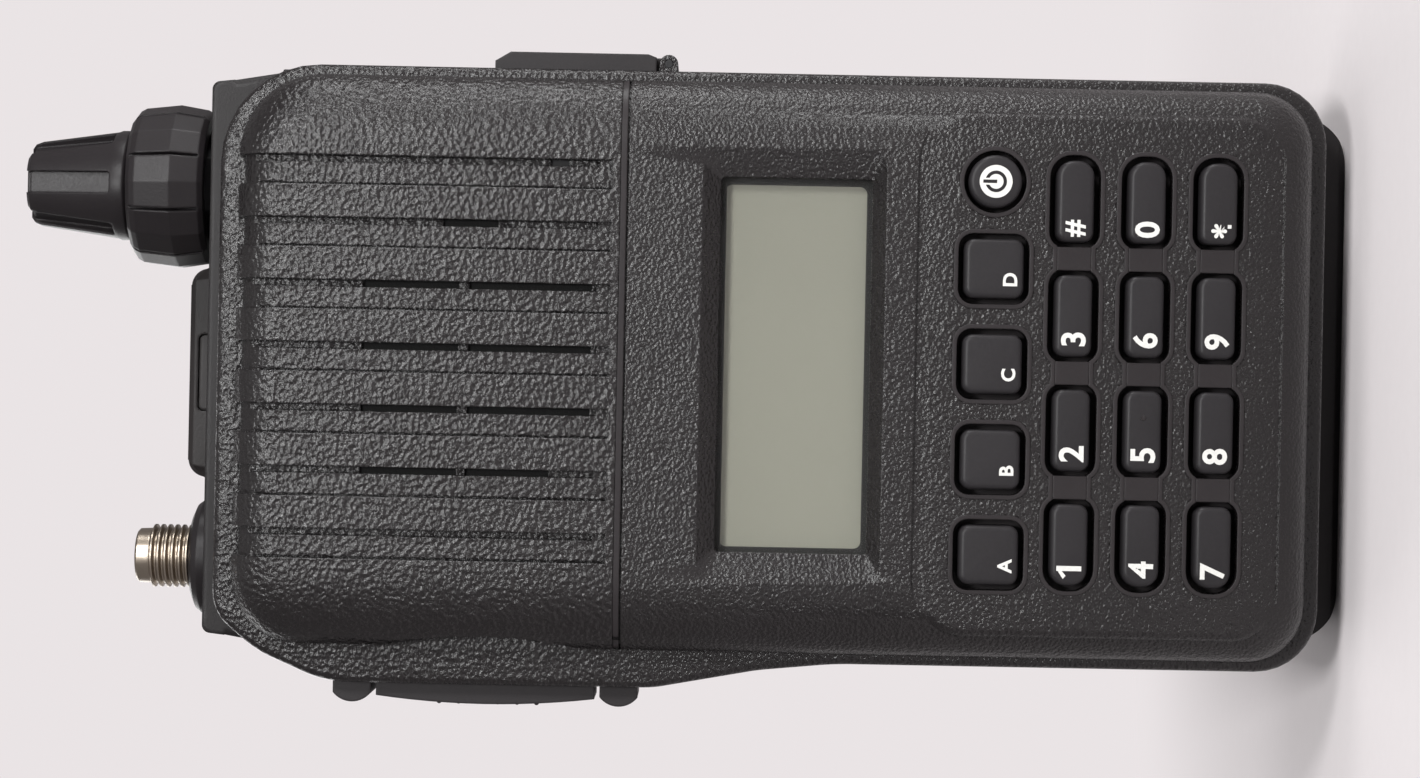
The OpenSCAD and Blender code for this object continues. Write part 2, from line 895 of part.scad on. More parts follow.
module antenna_boss() {
  color(case_black)
  translate([-antenna_x, knob_y, 0])
    rotate_extrude()
      polygon([[thread_radius - thread_depth, roof_z], [5.75, roof_z], [5.75, roof_z + 1.1],
        [5.3, roof_z + 1.7], [4.4, roof_z + 2.1], [thread_radius - thread_depth, roof_z + 2.15]]);
}

module speaker() {
  front = inner_y + 0.3;
  color([0.22, 0.22, 0.24])
  translate([speaker_x, 0, speaker_z])
  difference() {
    union() {
      rod_y(0, 0, front, front + 2.6, speaker_radius);
      rod_y(0, 0, front + 2.5, front + 4.6, speaker_radius - 6);
    }
    rod_y(0, 0, front - 1, front + 0.8, speaker_radius - 1.6);
  }
}

module speaker_mesh() {
  color([0.03, 0.03, 0.03]) rod_y(speaker_x, speaker_z, inner_y, inner_y + 0.3, speaker_radius);
}

module microphone() {
  color([0.6, 0.6, 0.62]) rod_y(channel_first - 0.4, 77.3, inner_y, inner_y + 2, 2);
}

module main_board() {
  color(board_green)
  difference() {
    slab_y(main_front, main_back) panel(-main_half, main_half, board_foot, main_top, 1, 1);
    for (side = [-1, 1]) {
      rod_y(side * boss_high_x, boss_high_z, main_front - 1, main_back + 1, boss_radius + 0.3);
    }
  }
}

module shield_can() {
  color(steel)
  difference() {
    block(-can_half, can_half, main_front - can_height, main_front, can_low, can_high);
    block(-can_half + can_wall, can_half - can_wall, main_front - can_height + can_wall, main_front + 1,
      can_low + can_wall, can_high - can_wall);
  }
}

module jack_cover() {
  top = cover_low + cover_height;
  out = cover_x + cover_thick;
  color([0.07, 0.07, 0.075])
  difference() {
    union() {
      slab_y(cover_y0, cover_y1)
        polygon([[cover_x, cover_low], [out - 0.3, cover_low], [out, cover_low + 0.8],
          [out, top - 1.5], [out - 0.9, top], [cover_x, top]]);
      block(cover_x + 0.1, hinge_x + knuckle - 0.2, cover_y0 + 1.5, cover_y1 - 1.5, hinge_z, cover_low + 0.1);
      rod_y(hinge_x, hinge_z, cover_y0 + 1.5, cover_y1 - 1.5, knuckle);
    }
    rod_y(hinge_x, hinge_z, cover_y0, cover_y1, hinge_pin + 0.05);
  }
}

module jack_pin() {
  color(steel) rod_y(hinge_x, hinge_z, cover_y0 + 0.1, cover_y1 - 0.1, hinge_pin);
}

module accessory_jacks() {
  out = half_width - wall;
  color([0.12, 0.12, 0.12])
  difference() {
    block(out - jack_deep - 1, out, jack_y - 3, main_front, jack_z[0] - 2.6, jack_z[1] + 3.4);
    for (i = [0, 1]) {
      rod_x(jack_y, jack_z[i], out - jack_deep, out + 1, jack_radius[i]);
    }
  }
}

module pack_outline(inset) {
  panel(-pack_half + inset, pack_half - inset, inset, pack_height - inset, pack_radius - inset, 2);
}

module pack_foot() {
  difference() {
    intersection() {
      slab_y(foot_front, bay_y + 0.1) pack_outline(0);
      slab_z(0, foot_height) translate([-pack_half, foot_front]) square([2 * pack_half, 20]);
    }
    block(-latch_half - 3.3, latch_half + 3.3, plate_y - 0.3, bay_y, -1, case_lift);
    translate([0, foot_front, 0]) rotate([45, 0, 0]) cube([80, foot_bevel, foot_bevel], center = true);
  }
}

module battery_case() {
  color(case_black)
  difference() {
    union() {
      slab_y(bay_y, lid_y) pack_outline(0);
      pack_foot();
    }
    slab_y(bay_y + pack_front_wall, lid_y + 1)
      panel(-pack_half + pack_wall, pack_half - pack_wall, pack_floor, pack_height - pack_wall, 2, 1);
    for (side = [-1, 1]) {
      for (z0 = rail_z) {
        block(side * rail_half - 1.1, side * rail_half + 1.1, bay_y - 1, bay_y + 1.4,
          z0 - rail_length, z0 + rail_length);
      }
    }
    block(-7.5, 7.5, bay_y - 1, bay_y + 1.2, contact_low - 1, pack_height + 1);
    latch_slot(bay_y - 1, latch_room);
    block(-nub_half - latch_gap, nub_half + latch_gap, nub_y - latch_gap,
      nub_y + nub_length + nub_travel + latch_gap, -1, latch_low);
  }
}

module battery_cover() {
  color(case_black)
  intersection() {
    slab_y(lid_y, back_y) pack_outline(0);
    slab_z(0, pack_height) panel(-pack_half, pack_half, back_y - 12, back_y, 1, 1.7);
    slab_x(-pack_half, pack_half) panel(back_y - 12, back_y, -0.01, pack_height, 1.2, 1.2);
  }
}

module battery_cells() {
  inner = pack_half - pack_wall;
  color([0.25, 0.4, 0.6])
  for (side = [0, 1]) {
    slab_y(bay_y + pack_front_wall, lid_y)
      panel(side * (inner + 0.1) - inner, side * (inner + 0.1) - 0.1,
        pack_floor, contact_low - 1.5, 2, 1.5);
  }
}

module battery_contacts() {
  color(gold)
  for (i = [-1 : 1]) {
    block(i * contact_pitch - 1.6, i * contact_pitch + 1.6, bay_y + 1, bay_y + 1.2, contact_low, contact_high);
  }
}

module latch_slot(y0, y1) {
  block(-latch_half - latch_gap, latch_half + latch_gap, y0, y1, latch_low - latch_gap, latch_high + latch_gap);
}

module coil_profile(bore, valley, crest, turns, pitch) {
  polygon(concat([[bore, turns * pitch], [bore, 0]],
    [for (i = [0 : turns - 1]) for (k = [0 : 3])
      [k == 1 || k == 2 ? crest : valley, (i + [0, 0.3, 0.7, 1][k]) * pitch * 0.999]]));
}

module battery_latch() {
  color([0.1, 0.1, 0.11]) {
    block(-latch_half, latch_half, plate_y + 0.2, latch_back, latch_low, latch_high);
    block(-nub_half, nub_half, nub_y, nub_y + nub_length, 0.3, latch_low + 0.1);
  }
}

module latch_spring() {
  color(steel)
  translate([0, latch_back + latch_gap, (latch_low + latch_high) / 2]) rotate([-90, 0, 0])
    rotate_extrude() coil_profile(0.35, 0.6, 0.85, 8, 0.4);
}

module terminal_block() {
  color([0.2, 0.2, 0.2])
    block(-terminal_half, terminal_half, main_back, bay_y - 0.2, terminal_low, terminal_high);
  color(gold)
  for (i = [-1 : 1]) {
    block(i * contact_pitch - 0.8, i * contact_pitch + 0.8, bay_y - 0.3, bay_y + 1,
      terminal_low + 2, terminal_high - 2);
  }
}

module clip_plate() {
  color([0.15, 0.15, 0.16])
  difference() {
    union() {
      slab_y(back_y, back_y + clip_plate_thick)
        panel(clip_x - clip_width / 2 + 0.2, clip_x + clip_width / 2 - 0.2, plate_low, plate_high, 2, 2);
      for (x0 = [clip_x - ear_out, clip_x + ear_in]) {
        rod_x(pivot_y, pivot_z, x0, x0 + 2, 2.4);
        block(x0, x0 + 2, back_y + 1, pivot_y, pivot_z - 2.4, pivot_z + 2.4);
      }
    }
    rod_x(pivot_y, pivot_z, -30, 30, pin_radius);
    for (side = [-1, 1]) {
      rod_y(clip_x + side * clip_screw_x, clip_screw_z, back_y - 1, back_y + 3, clip_screw_radius);
      rod_y(clip_x + side * clip_screw_x, clip_screw_z, back_y + 0.6, back_y + 3, clip_screw_head + 0.1);
    }
  }
}

module clip_arm() {
  half = clip_width / 2;
  hub = 1.7;
  color([0.09, 0.09, 0.095])
  difference() {
    union() {
      slab_x(clip_x - half, clip_x + half)
        polygon([[arm_y - 0.6, tab_top - 0.6], [arm_y, tab_top], [arm_y + arm_thick - 0.5, tab_top],
          [arm_y + arm_thick, tab_top - 1], [arm_y + arm_thick, clip_tip + 16],
          [back_y + 3.2, clip_tip + 1], [back_y + 2.4, clip_tip], [back_y + 0.9, clip_tip],
          [back_y + 0.3, clip_tip + 1.2], [back_y + 0.3, clip_tip + 2.6],
          [arm_y, clip_tip + 17], [arm_y, pivot_z + 6], [arm_y - 0.6, pivot_z + 8]]);
      for (x0 = [clip_x - ear_in + 0.3, clip_x + 3.8]) {
        rod_x(pivot_y, pivot_z, x0, x0 + ear_in - 4.1, hub);
        block(x0, x0 + ear_in - 4.1, pivot_y, arm_y + 0.1, pivot_z - hub, pivot_z + hub);
      }
    }
    rod_x(pivot_y, pivot_z, -30, 30, pin_radius + 0.06);
    rod_x(pivot_y, pivot_z, clip_x - 3.6, clip_x + 3.6, spring_crest + 0.3);
    block(clip_x - half - 1, clip_x - ear_in + 0.3, 0, 40, pivot_z - 5, pivot_z + 5);
    block(clip_x + ear_in - 0.3, clip_x + half + 1, 0, 40, pivot_z - 5, pivot_z + 5);
    for (side = [-1, 1]) {
      translate([clip_x + side * half, 0, tab_top]) rotate([0, 45, 0])
        cube([2.6, 80, 2.6], center = true);
      translate([clip_x + side * half, 0, clip_tip]) rotate([0, 45, 0])
        cube([5, 80, 5], center = true);
    }
    block(clip_x - 3.9, clip_x + 3.9, arm_y + arm_thick - 0.5, 40, tab_top - 9, tab_top - 2);
  }
}

module clip_pin() {
  color(steel) rod_x(pivot_y, pivot_z, clip_x - ear_out, clip_x + ear_out, pin_radius);
}

module clip_spring() {
  color(steel)
  translate([clip_x - 3.2, pivot_y, pivot_z]) rotate([0, 90, 0])
    rotate_extrude() coil_profile(pin_radius, 1.25, spring_crest, 8, 0.8);
}

module case_screws() {
  color(steel)
  boss_places() {
    rod_y(0, 0, screw_tip_y, bay_y - 1, screw_radius);
    difference() {
      rod_y(0, 0, bay_y - 1.1, bay_y - 0.1, screw_head);
      block(-1.2, 1.2, bay_y - 0.6, bay_y, -0.25, 0.25);
      block(-0.25, 0.25, bay_y - 0.6, bay_y, -1.2, 1.2);
    }
  }
}

module clip_screws() {
  color(steel)
  for (side = [-1, 1]) {
    translate([clip_x + side * clip_screw_x, 0, clip_screw_z]) {
      rod_y(0, 0, back_y - 4, back_y + 0.7, clip_screw_radius);
      difference() {
        rod_y(0, 0, back_y + 0.6, back_y + 1.5, clip_screw_head);
        block(-1.7, 1.7, back_y + 1, back_y + 2, -0.35, 0.35);
        block(-0.35, 0.35, back_y + 1, back_y + 2, -1.7, 1.7);
      }
    }
  }
}

front_case();
main_seal();
rear_chassis();
display_lens();
lcd_panel();
lcd_holder();
keypad_mat();
logic_board();
key_1();
key_2();
key_3();
key_hash();
key_4();
key_5();
key_6();
key_0();
key_7();
key_8();
key_9();
key_star();
key_a();
key_b();
key_c();
key_d();
power_key();
talk_bar();
upper_side_key();
lower_side_key();
side_key_frame();
dial_knob();
dial_shaft();
volume_ring();
volume_shaft();
encoder();
encoder_nut();
antenna_connector();
antenna_insulator();
antenna_contact();
antenna_boss();
speaker();
speaker_mesh();
microphone();
main_board();
shield_can();
jack_cover();
jack_pin();
accessory_jacks();
battery_case();
battery_cover();
battery_cells();
battery_contacts();
battery_latch();
latch_spring();
terminal_block();
clip_plate();
clip_arm();
clip_pin();
clip_spring();
case_screws();
clip_screws();
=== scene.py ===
import math

import bmesh
import bpy
from mathutils import Matrix, Vector


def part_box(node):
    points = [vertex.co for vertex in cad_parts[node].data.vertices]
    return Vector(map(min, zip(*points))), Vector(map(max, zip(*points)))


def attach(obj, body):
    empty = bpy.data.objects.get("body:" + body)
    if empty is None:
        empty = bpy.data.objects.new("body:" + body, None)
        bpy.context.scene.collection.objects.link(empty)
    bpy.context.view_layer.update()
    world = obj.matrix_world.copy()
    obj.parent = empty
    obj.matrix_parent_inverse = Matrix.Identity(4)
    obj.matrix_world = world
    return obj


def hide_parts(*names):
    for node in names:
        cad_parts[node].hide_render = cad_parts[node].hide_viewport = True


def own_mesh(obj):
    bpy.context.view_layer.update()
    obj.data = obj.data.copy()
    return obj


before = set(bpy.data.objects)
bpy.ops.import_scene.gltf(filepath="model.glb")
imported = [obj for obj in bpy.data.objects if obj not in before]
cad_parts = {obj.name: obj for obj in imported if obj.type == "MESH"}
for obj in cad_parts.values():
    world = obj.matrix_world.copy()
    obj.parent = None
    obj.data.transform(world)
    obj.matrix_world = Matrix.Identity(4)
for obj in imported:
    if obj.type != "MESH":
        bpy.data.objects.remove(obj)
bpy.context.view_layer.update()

bpy.ops.object.select_all(action="DESELECT")
MM = 0.001


# The camera looks square at the face of the radio, which is turned on its side in the view: the
# antenna end is at the left and the jack cover at the top. It stands 27 cm in front of the face.
face_low, face_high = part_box("front_case")
face_y = face_low.y
view_distance = 270 * MM
view_width = 133.96 * MM
view_turn = math.radians(1.15)
sensor_width = 36
view_centre = Vector((-2.17 * MM, face_y, 62.6 * MM))
lens_data = bpy.data.cameras.new("camera")
lens_data.sensor_width = sensor_width
lens_data.lens = sensor_width * view_distance / view_width
lens_data.clip_start = 0.01
camera = bpy.data.objects.new("camera", lens_data)
bpy.context.scene.collection.objects.link(camera)
view_right = Vector((math.sin(view_turn), 0, -math.cos(view_turn)))
view_up = Vector((math.cos(view_turn), 0, math.sin(view_turn)))
view_back = Vector((0, -1, 0))
camera.matrix_world = (Matrix.Translation(view_centre + view_back * view_distance)
                       @ Matrix((view_right, view_up, view_back)).transposed().to_4x4())
bpy.context.scene.camera = camera
bpy.context.scene.view_settings.view_transform = "Standard"


# Shader sums are written as plain sums on Wire, which stands for one socket of a Finish. A Finish is
# one surface: its nodes, all read on Object coordinates, and the shader at their end.
class Wire:
    def __init__(self, finish, socket):
        self.finish = finish
        self.socket = socket

    def sum_with(self, operation, other, turned=False):
        pair = (other, self) if turned else (self, other)
        return self.finish.node("ShaderNodeMath", {"operation": operation}, {0: pair[0], 1: pair[1]})

    def __add__(self, other):
        return self.sum_with("ADD", other)

    def __radd__(self, other):
        return self.sum_with("ADD", other, True)

    def __sub__(self, other):
        return self.sum_with("SUBTRACT", other)

    def __rsub__(self, other):
        return self.sum_with("SUBTRACT", other, True)

    def __mul__(self, other):
        return self.sum_with("MULTIPLY", other)

    def __rmul__(self, other):
        return self.sum_with("MULTIPLY", other, True)


class Finish:
    def __init__(self, name, colour, **steady):
        self.material = bpy.data.materials.new(name)
        self.material.use_nodes = True
        self.tree = self.material.node_tree
        self.shader = self.tree.nodes["Principled BSDF"]
        self.shader.inputs["Base Color"].default_value = (*colour, 1)
        for socket, value in steady.items():
            self.shader.inputs[socket.replace("_", " ")].default_value = value
        self.place = self.node("ShaderNodeTexCoord", {}, {}, "Object")

    def node(self, kind, settings, values, out=0):
        made = self.tree.nodes.new(kind)
        for setting, value in settings.items():
            setattr(made, setting, value)
        for socket, value in values.items():
            self.feed(made.inputs[socket], value)
        return Wire(self, made.outputs[out])

    def feed(self, socket, value):
        if isinstance(value, Wire):
            self.tree.links.new(value.socket, socket)
        elif isinstance(value, tuple) and socket.type == "RGBA":
            socket.default_value = (*value, 1)
        else:
            socket.default_value = value

    def paint(self, **varying):
        for socket, value in varying.items():
            self.feed(self.shader.inputs[socket.replace("_", " ")], value)

    def noise(self, size, detail=2.0, roughness=0.5):
        return self.node("ShaderNodeTexNoise", {}, {"Vector": self.place, "Scale": 1 / size, "Detail": detail,
                                                    "Roughness": roughness})

    def cells(self, size):
        return self.node("ShaderNodeTexVoronoi", {"feature": "SMOOTH_F1"},
                         {"Vector": self.place, "Scale": 1 / size})

    def blend(self, share, first, second):
        return self.node("ShaderNodeMix", {"data_type": "RGBA"}, {0: share, 6: first, 7: second}, 2)

    def bump(self, height, depth, edge=0.0):
        values = {"Height": height, "Distance": depth, "Strength": 1.0}
        if edge:
            values["Normal"] = self.node("ShaderNodeBevel", {"samples": 6}, {"Radius": edge})
        self.paint(Normal=self.node("ShaderNodeBump", {}, values))


def shade(colour, factor):
    return tuple(min(1.0, part * factor) for part in colour)


def moulded(name, colour, grain=0.35 * MM, depth=0.03 * MM, roughness=0.5, edge=0.2 * MM):
    """A plastic, rubber or painted surface: fine grain, cloudy changes of shade and gloss, and soft edges."""
    finish = Finish(name, colour, Specular_IOR_Level=0.2)
    cloud = finish.noise(9 * MM, 3.0)
    speck = finish.noise(grain, 2.0, 0.6)
    tone = cloud * 0.5 + speck * 0.5
    finish.paint(Base_Color=finish.blend(tone, shade(colour, 0.72), shade(colour, 1.28)),
                 Roughness=speck * 0.16 + cloud * 0.08 + (roughness - 0.12))
    finish.bump(speck, depth, edge)
    return finish.material


def metal(name, colour, roughness=0.3, scratch=0.25 * MM, edge=0.1 * MM):
    """A bare or plated metal with faint drawn scratches and a dull cloud."""
    finish = Finish(name, colour, Metallic=1.0)
    stretched = finish.node("ShaderNodeMapping", {}, {"Vector": finish.place, "Scale": (1.0, 1.0, 0.12)})
    lines = finish.node("ShaderNodeTexNoise", {}, {"Vector": stretched, "Scale": 1 / scratch, "Detail": 2.0})
    cloud = finish.noise(4 * MM, 2.0)
    finish.paint(Base_Color=finish.blend(cloud, shade(colour, 0.8), shade(colour, 1.1)),
                 Roughness=lines * 0.15 + cloud * 0.1 + (roughness - 0.12))
    finish.bump(lines, 0.006 * MM, edge)
    return finish.material


def wear(node, material):
    """Gives a CAD node its finish."""
    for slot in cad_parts[node].material_slots:
        slot.material = material


# The stage: a pale bench that the radio stands on, fading into a pale room. The near part of the
# bench is lit and takes the shadow, and further out it gives way to the room's own colour. Mirror
# rays see that colour only faintly, so that the black plastic stays black.
room_colour = (0.82, 0.775, 0.785)
room_in_mirrors = 0.25
bench_size = 4.0
fade_start, fade_end = 0.02, 0.13
bpy.ops.mesh.primitive_circle_add(vertices=96, radius=bench_size, fill_type="NGON", location=(0, 0, 0))
bench = bpy.context.active_object
bench.name = "bench"
bench_finish = Finish("bench_paint", room_colour, Roughness=0.9)
bench_finish.shader.inputs["Specular IOR Level"].default_value = 0.0
reach = bench_finish.node("ShaderNodeVectorMath", {"operation": "LENGTH"}, {0: bench_finish.place}, "Value")
far = bench_finish.node("ShaderNodeMapRange", {"interpolation_type": "SMOOTHSTEP"},
                        {"Value": reach, "From Min": fade_start, "From Max": fade_end})
grainy = bench_finish.noise(1.5 * MM)
bench_finish.paint(Base_Color=bench_finish.blend(grainy, shade(room_colour, 0.98), shade(room_colour, 1.02)))
light_path = bench_finish.tree.nodes.new("ShaderNodeLightPath")
seen = (Wire(bench_finish, light_path.outputs["Is Camera Ray"])
        + Wire(bench_finish, light_path.outputs["Is Glossy Ray"]) * room_in_mirrors
        + Wire(bench_finish, light_path.outputs["Is Transmission Ray"]))
glow = bench_finish.node("ShaderNodeEmission", {}, {"Color": room_colour, "Strength": 1.0})
lit = Wire(bench_finish, bench_finish.shader.outputs[0])
mixed = bench_finish.node("ShaderNodeMixShader", {}, {0: far * seen, 1: lit, 2: glow})
bench_finish.tree.links.new(mixed.socket, bench_finish.tree.nodes["Material Output"].inputs["Surface"])
bench.data.materials.append(bench_finish.material)

room_light_colour = (0.13, 0.126, 0.126)
world = bpy.data.worlds.new("room")
bpy.context.scene.world = world
world.use_nodes = True
room = world.node_tree
room_light = room.nodes["Background"]
room_light.inputs["Color"].default_value = (*room_light_colour, 1)
room_light.inputs["Strength"].default_value = 1.0
room_seen = room.nodes.new("ShaderNodeBackground")
room_seen.inputs["Color"].default_value = (*room_colour, 1)
room_path = room.nodes.new("ShaderNodeLightPath")
room_sum = room.nodes.new("ShaderNodeMath")
room_sum.use_clamp = True
room_mirror = room.nodes.new("ShaderNodeMath")
room_mirror.operation = "MULTIPLY_ADD"
room_mirror.inputs[1].default_value = room_in_mirrors
room.links.new(room_path.outputs["Is Glossy Ray"], room_mirror.inputs[0])
room.links.new(room_path.outputs["Is Transmission Ray"], room_mirror.inputs[2])
room.links.new(room_path.outputs["Is Camera Ray"], room_sum.inputs[0])
room.links.new(room_mirror.outputs[0], room_sum.inputs[1])
room_mix = room.nodes.new("ShaderNodeMixShader")
room.links.new(room_sum.outputs[0], room_mix.inputs[0])
room.links.new(room_light.outputs[0], room_mix.inputs[1])
room.links.new(room_seen.outputs[0], room_mix.inputs[2])
room.links.new(room_mix.outputs[0], room.nodes["World Output"].inputs["Surface"])

# Five soft lamps: two stand before the face, above the antenna end and off the jack cover's side, and
# one beside the jack cover. One is behind, and a faint one hangs over the bench. The talk bar's side is
# left dark.
body_middle = Vector((0, 0, 60 * MM))


def lamp(name, place, size, power):
    data = bpy.data.lights.new(name, "AREA")
    data.shape = "SQUARE"
    data.size = size
    data.energy = power
    made = bpy.data.objects.new(name, data)
    bpy.context.scene.collection.objects.link(made)
    made.location = place
    made.rotation_euler = (body_middle - place).to_track_quat("-Z", "Y").to_euler()


lamp("side_lamp", Vector((0.28, -0.48, 0.28)), 0.10, 1.9)
lamp("face_lamp", Vector((0.03, -0.52, 0.34)), 0.09, 2.0)
lamp("edge_lamp", Vector((0.55, -0.10, 0.14)), 0.16, 1.8)
lamp("back_lamp", Vector((-0.25, 0.60, 0.35)), 0.50, 2.2)
lamp("bench_lamp", Vector((0.0, -0.35, 0.9)), 0.6, 0.8)


# The case is moulded in black plastic with a leather grain, which is coarser and deeper over the
# grille than below it. The grain has a fine tooth of its own, and its gloss changes a little.
grille_grain, plain_grain, fine_tooth = 0.42 * MM, 0.31 * MM, 0.16 * MM
grain_depth, soft_edge = 0.15 * MM, 0.2 * MM
change_low, change_high = 70.6 * MM, 71.4 * MM
case_finish = Finish("case_plastic", (0.010, 0.0085, 0.009))
case_finish.shader.inputs["Specular IOR Level"].default_value = 0.4
case_place = case_finish.node("ShaderNodeSeparateXYZ", {}, {0: case_finish.place}, 2)
on_grille = case_finish.node("ShaderNodeMapRange", {"interpolation_type": "SMOOTHSTEP"},
                             {"Value": case_place, "From Min": change_low, "From Max": change_high})
coarse = case_finish.cells(grille_grain)
medium = case_finish.cells(plain_grain)
fine = case_finish.noise(fine_tooth, 2.0, 0.6)
cloud = case_finish.noise(11 * MM, 3.0)
case_height = coarse * on_grille + medium * (1 - on_grille) * 0.7 + fine * 0.35
case_finish.paint(
    Base_Color=case_finish.blend(cloud * 0.5 + fine * 0.5, (0.006, 0.005, 0.0052), (0.014, 0.012, 0.0125)),
    Roughness=fine * 0.14 + cloud * 0.08 + 0.15)
case_finish.bump(case_height, grain_depth, soft_edge)
case_plastic = case_finish.material


# The front case is one moulding: a flange that carries a raised, well rounded body. Each is a slab cut
# to its outline, and the body's sides fall away more widely than they rise.
def in_edit(piece):
    bpy.ops.object.select_all(action="DESELECT")
    piece.select_set(True)
    bpy.context.view_layer.objects.active = piece
    bpy.ops.object.mode_set(mode="EDIT")


def choose_edges(piece, test):
    """In edit mode, selects the edges both of whose ends pass the test."""
    bpy.ops.mesh.select_mode(type="EDGE")
    bpy.ops.mesh.select_all(action="DESELECT")
    shape = bmesh.from_edit_mesh(piece.data)
    for edge in shape.edges:
        edge.select_set(all(test(end.co) for end in edge.verts))
    shape.select_flush_mode()
    bmesh.update_edit_mesh(piece.data)


def block(low, high):
    """A plain block between two corners in mm, as a start or a cutter."""
    bpy.ops.object.select_all(action="DESELECT")
    middle = [(a + b) / 2 * MM for a, b in zip(low, high)]
    bpy.ops.mesh.primitive_cube_add(size=1, location=middle)
    piece = bpy.context.active_object
    piece.scale = [(b - a) * MM for a, b in zip(low, high)]
    bpy.ops.object.transform_apply(location=True, scale=True)
    return piece


same_place = 0.000001


def slab(corners, front, back, edge=0.0, steps=6, edge_steps=6):
    """A slab in mm, cut to an outline of (x, z, corner radius) between two depths, rounded at the front."""
    bpy.ops.object.select_all(action="DESELECT")
    bpy.ops.mesh.primitive_circle_add(vertices=len(corners), fill_type="NGON")
    piece = bpy.context.active_object
    for point, (x, z, radius) in zip(piece.data.vertices, corners):
        point.co = Vector((x, front, z)) * MM
    in_edit(piece)
    bpy.ops.mesh.select_all(action="SELECT")
    bpy.ops.mesh.extrude_region_move(TRANSFORM_OT_translate={"value": (0, (back - front) * MM, 0)})
    for index, (x, z, radius) in enumerate(corners):
        before = Vector((corners[index - 1][0] - x, corners[index - 1][1] - z))
        after = corners[(index + 1) % len(corners)]
        after = Vector((after[0] - x, after[1] - z))
        turn = math.pi - before.angle(after)
        if radius > 0 and turn > 0.01:
            choose_edges(piece, lambda end: (abs(end.x - x * MM) < same_place
                                             and abs(end.z - z * MM) < same_place))
            bpy.ops.mesh.bevel(offset=radius * math.tan(turn / 2) * MM, offset_type="OFFSET", segments=steps,
                               clamp_overlap=False)
    bpy.ops.mesh.select_all(action="SELECT")
    bpy.ops.mesh.normals_make_consistent(inside=False)
    if edge > 0:
        choose_edges(piece, lambda end: abs(end.y - front * MM) < same_place)
        bpy.ops.mesh.bevel(offset=edge * MM, offset_type="OFFSET", segments=edge_steps, clamp_overlap=False)
    bpy.ops.object.mode_set(mode="OBJECT")
    return piece


def box_corners(x0, x1, z0, z1, low_radius, high_radius):
    return [(x0, z0, low_radius), (x1, z0, low_radius), (x1, z1, high_radius), (x0, z1, high_radius)]


def rod(axis, middle, length, radius, sides):
    """A round bar in mm along one axis, as a start or a cutter."""
    bpy.ops.object.select_all(action="DESELECT")
    turn = {"x": (0, math.pi / 2, 0), "y": (math.pi / 2, 0, 0), "z": (0, 0, 0)}[axis]
    bpy.ops.mesh.primitive_cylinder_add(vertices=sides, radius=radius * MM, depth=length * MM,
                                        location=[part * MM for part in middle], rotation=turn)
    piece = bpy.context.active_object
    bpy.ops.object.transform_apply(location=True, rotation=True)
    return piece


def join(pieces):
    bpy.ops.object.select_all(action="DESELECT")
    for piece in pieces:
        piece.select_set(True)
    bpy.context.view_layer.objects.active = pieces[0]
    bpy.ops.object.join()
    return pieces[0]


def carve(piece, tool, operation="DIFFERENCE"):
    """Cuts a tool out of a piece, or joins or crosses the two, and throws the tool away."""
    bpy.ops.object.select_all(action="DESELECT")
    bpy.context.view_layer.objects.active = piece
    cut = piece.modifiers.new("cut", "BOOLEAN")
    cut.operation = operation
    cut.object = tool
    cut.solver = "EXACT"
    bpy.ops.object.modifier_apply(modifier=cut.name)
    bpy.data.objects.remove(tool)
    return piece


def finished(piece, name, material, body, *nodes, angle=35):
    """Names a piece, smooths it, gives it its finish and its body, and hides the CAD nodes it stands for."""
    piece.name = name
    piece.data.name = name
    piece.data.materials.clear()
    piece.data.materials.append(material)
    bpy.ops.object.select_all(action="DESELECT")
    piece.select_set(True)
    bpy.context.view_layer.objects.active = piece
    bpy.ops.object.shade_smooth_by_angle(angle=math.radians(angle))
    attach(piece, body)
    if nodes:
        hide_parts(*nodes)
    return piece


half_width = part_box("rear_chassis")[1].x / MM + 0.1
face = face_low.y / MM
wall = 1.8
inner = face + wall
flange = face + 5.5
case_low = face_low.z / MM
case_high = face_high.z / MM
past, across_all, overlap = 1, 40, 0.4

raised_low, raised_high = case_low + 1.8, case_high - 2.1
raised_left, raised_right = 1.1 - half_width, half_width - 1.1
foot_corner, knob_corner, socket_corner = 5.4, 8, 6.5
face_round, side_spread = 4.4, 3.0


def raised_body(inset):
    """The raised body, or the same shape at an even inset under its skin."""
    corners = [(raised_left + inset, raised_low + inset, foot_corner - inset),
               (raised_right - inset, raised_low + inset, foot_corner - inset),
               (raised_right - inset, raised_high - inset, knob_corner - inset),
               (raised_left + inset, raised_high - inset, socket_corner - inset)]
    body = slab(corners, face + inset, flange + overlap, face_round - inset, 10, 12)
    for point in body.data.vertices:
        rise = 1 - (point.co.y / MM - face - inset) / (face_round - inset)
        if rise > 0:
            spread = side_spread * (1 - math.sqrt(max(0, 1 - rise * rise))) * MM
            point.co.x -= math.copysign(spread, point.co.x)
    return body


# The grille is seven channels between ribs. The channels are cut right through the raised body, and a
# body of their depth is put back, so that their floors follow the rounded top end.
channel_first, channel_pitch, channel_width, channel_count = 19.27, 5.887, 2.8, 7
channel_foot, channel_head, channel_depth = 72.2, 112, 0.6
channel_back = flange + 0.3
channel_rights = [channel_first - index * channel_pitch for index in range(channel_count)]
front_shell = raised_body(0)
front_shell = carve(front_shell, join([
    block((right - channel_width, face - past, channel_foot), (right, channel_back, channel_head))
    for right in channel_rights]))
front_shell = carve(front_shell, raised_body(channel_depth), "UNION")

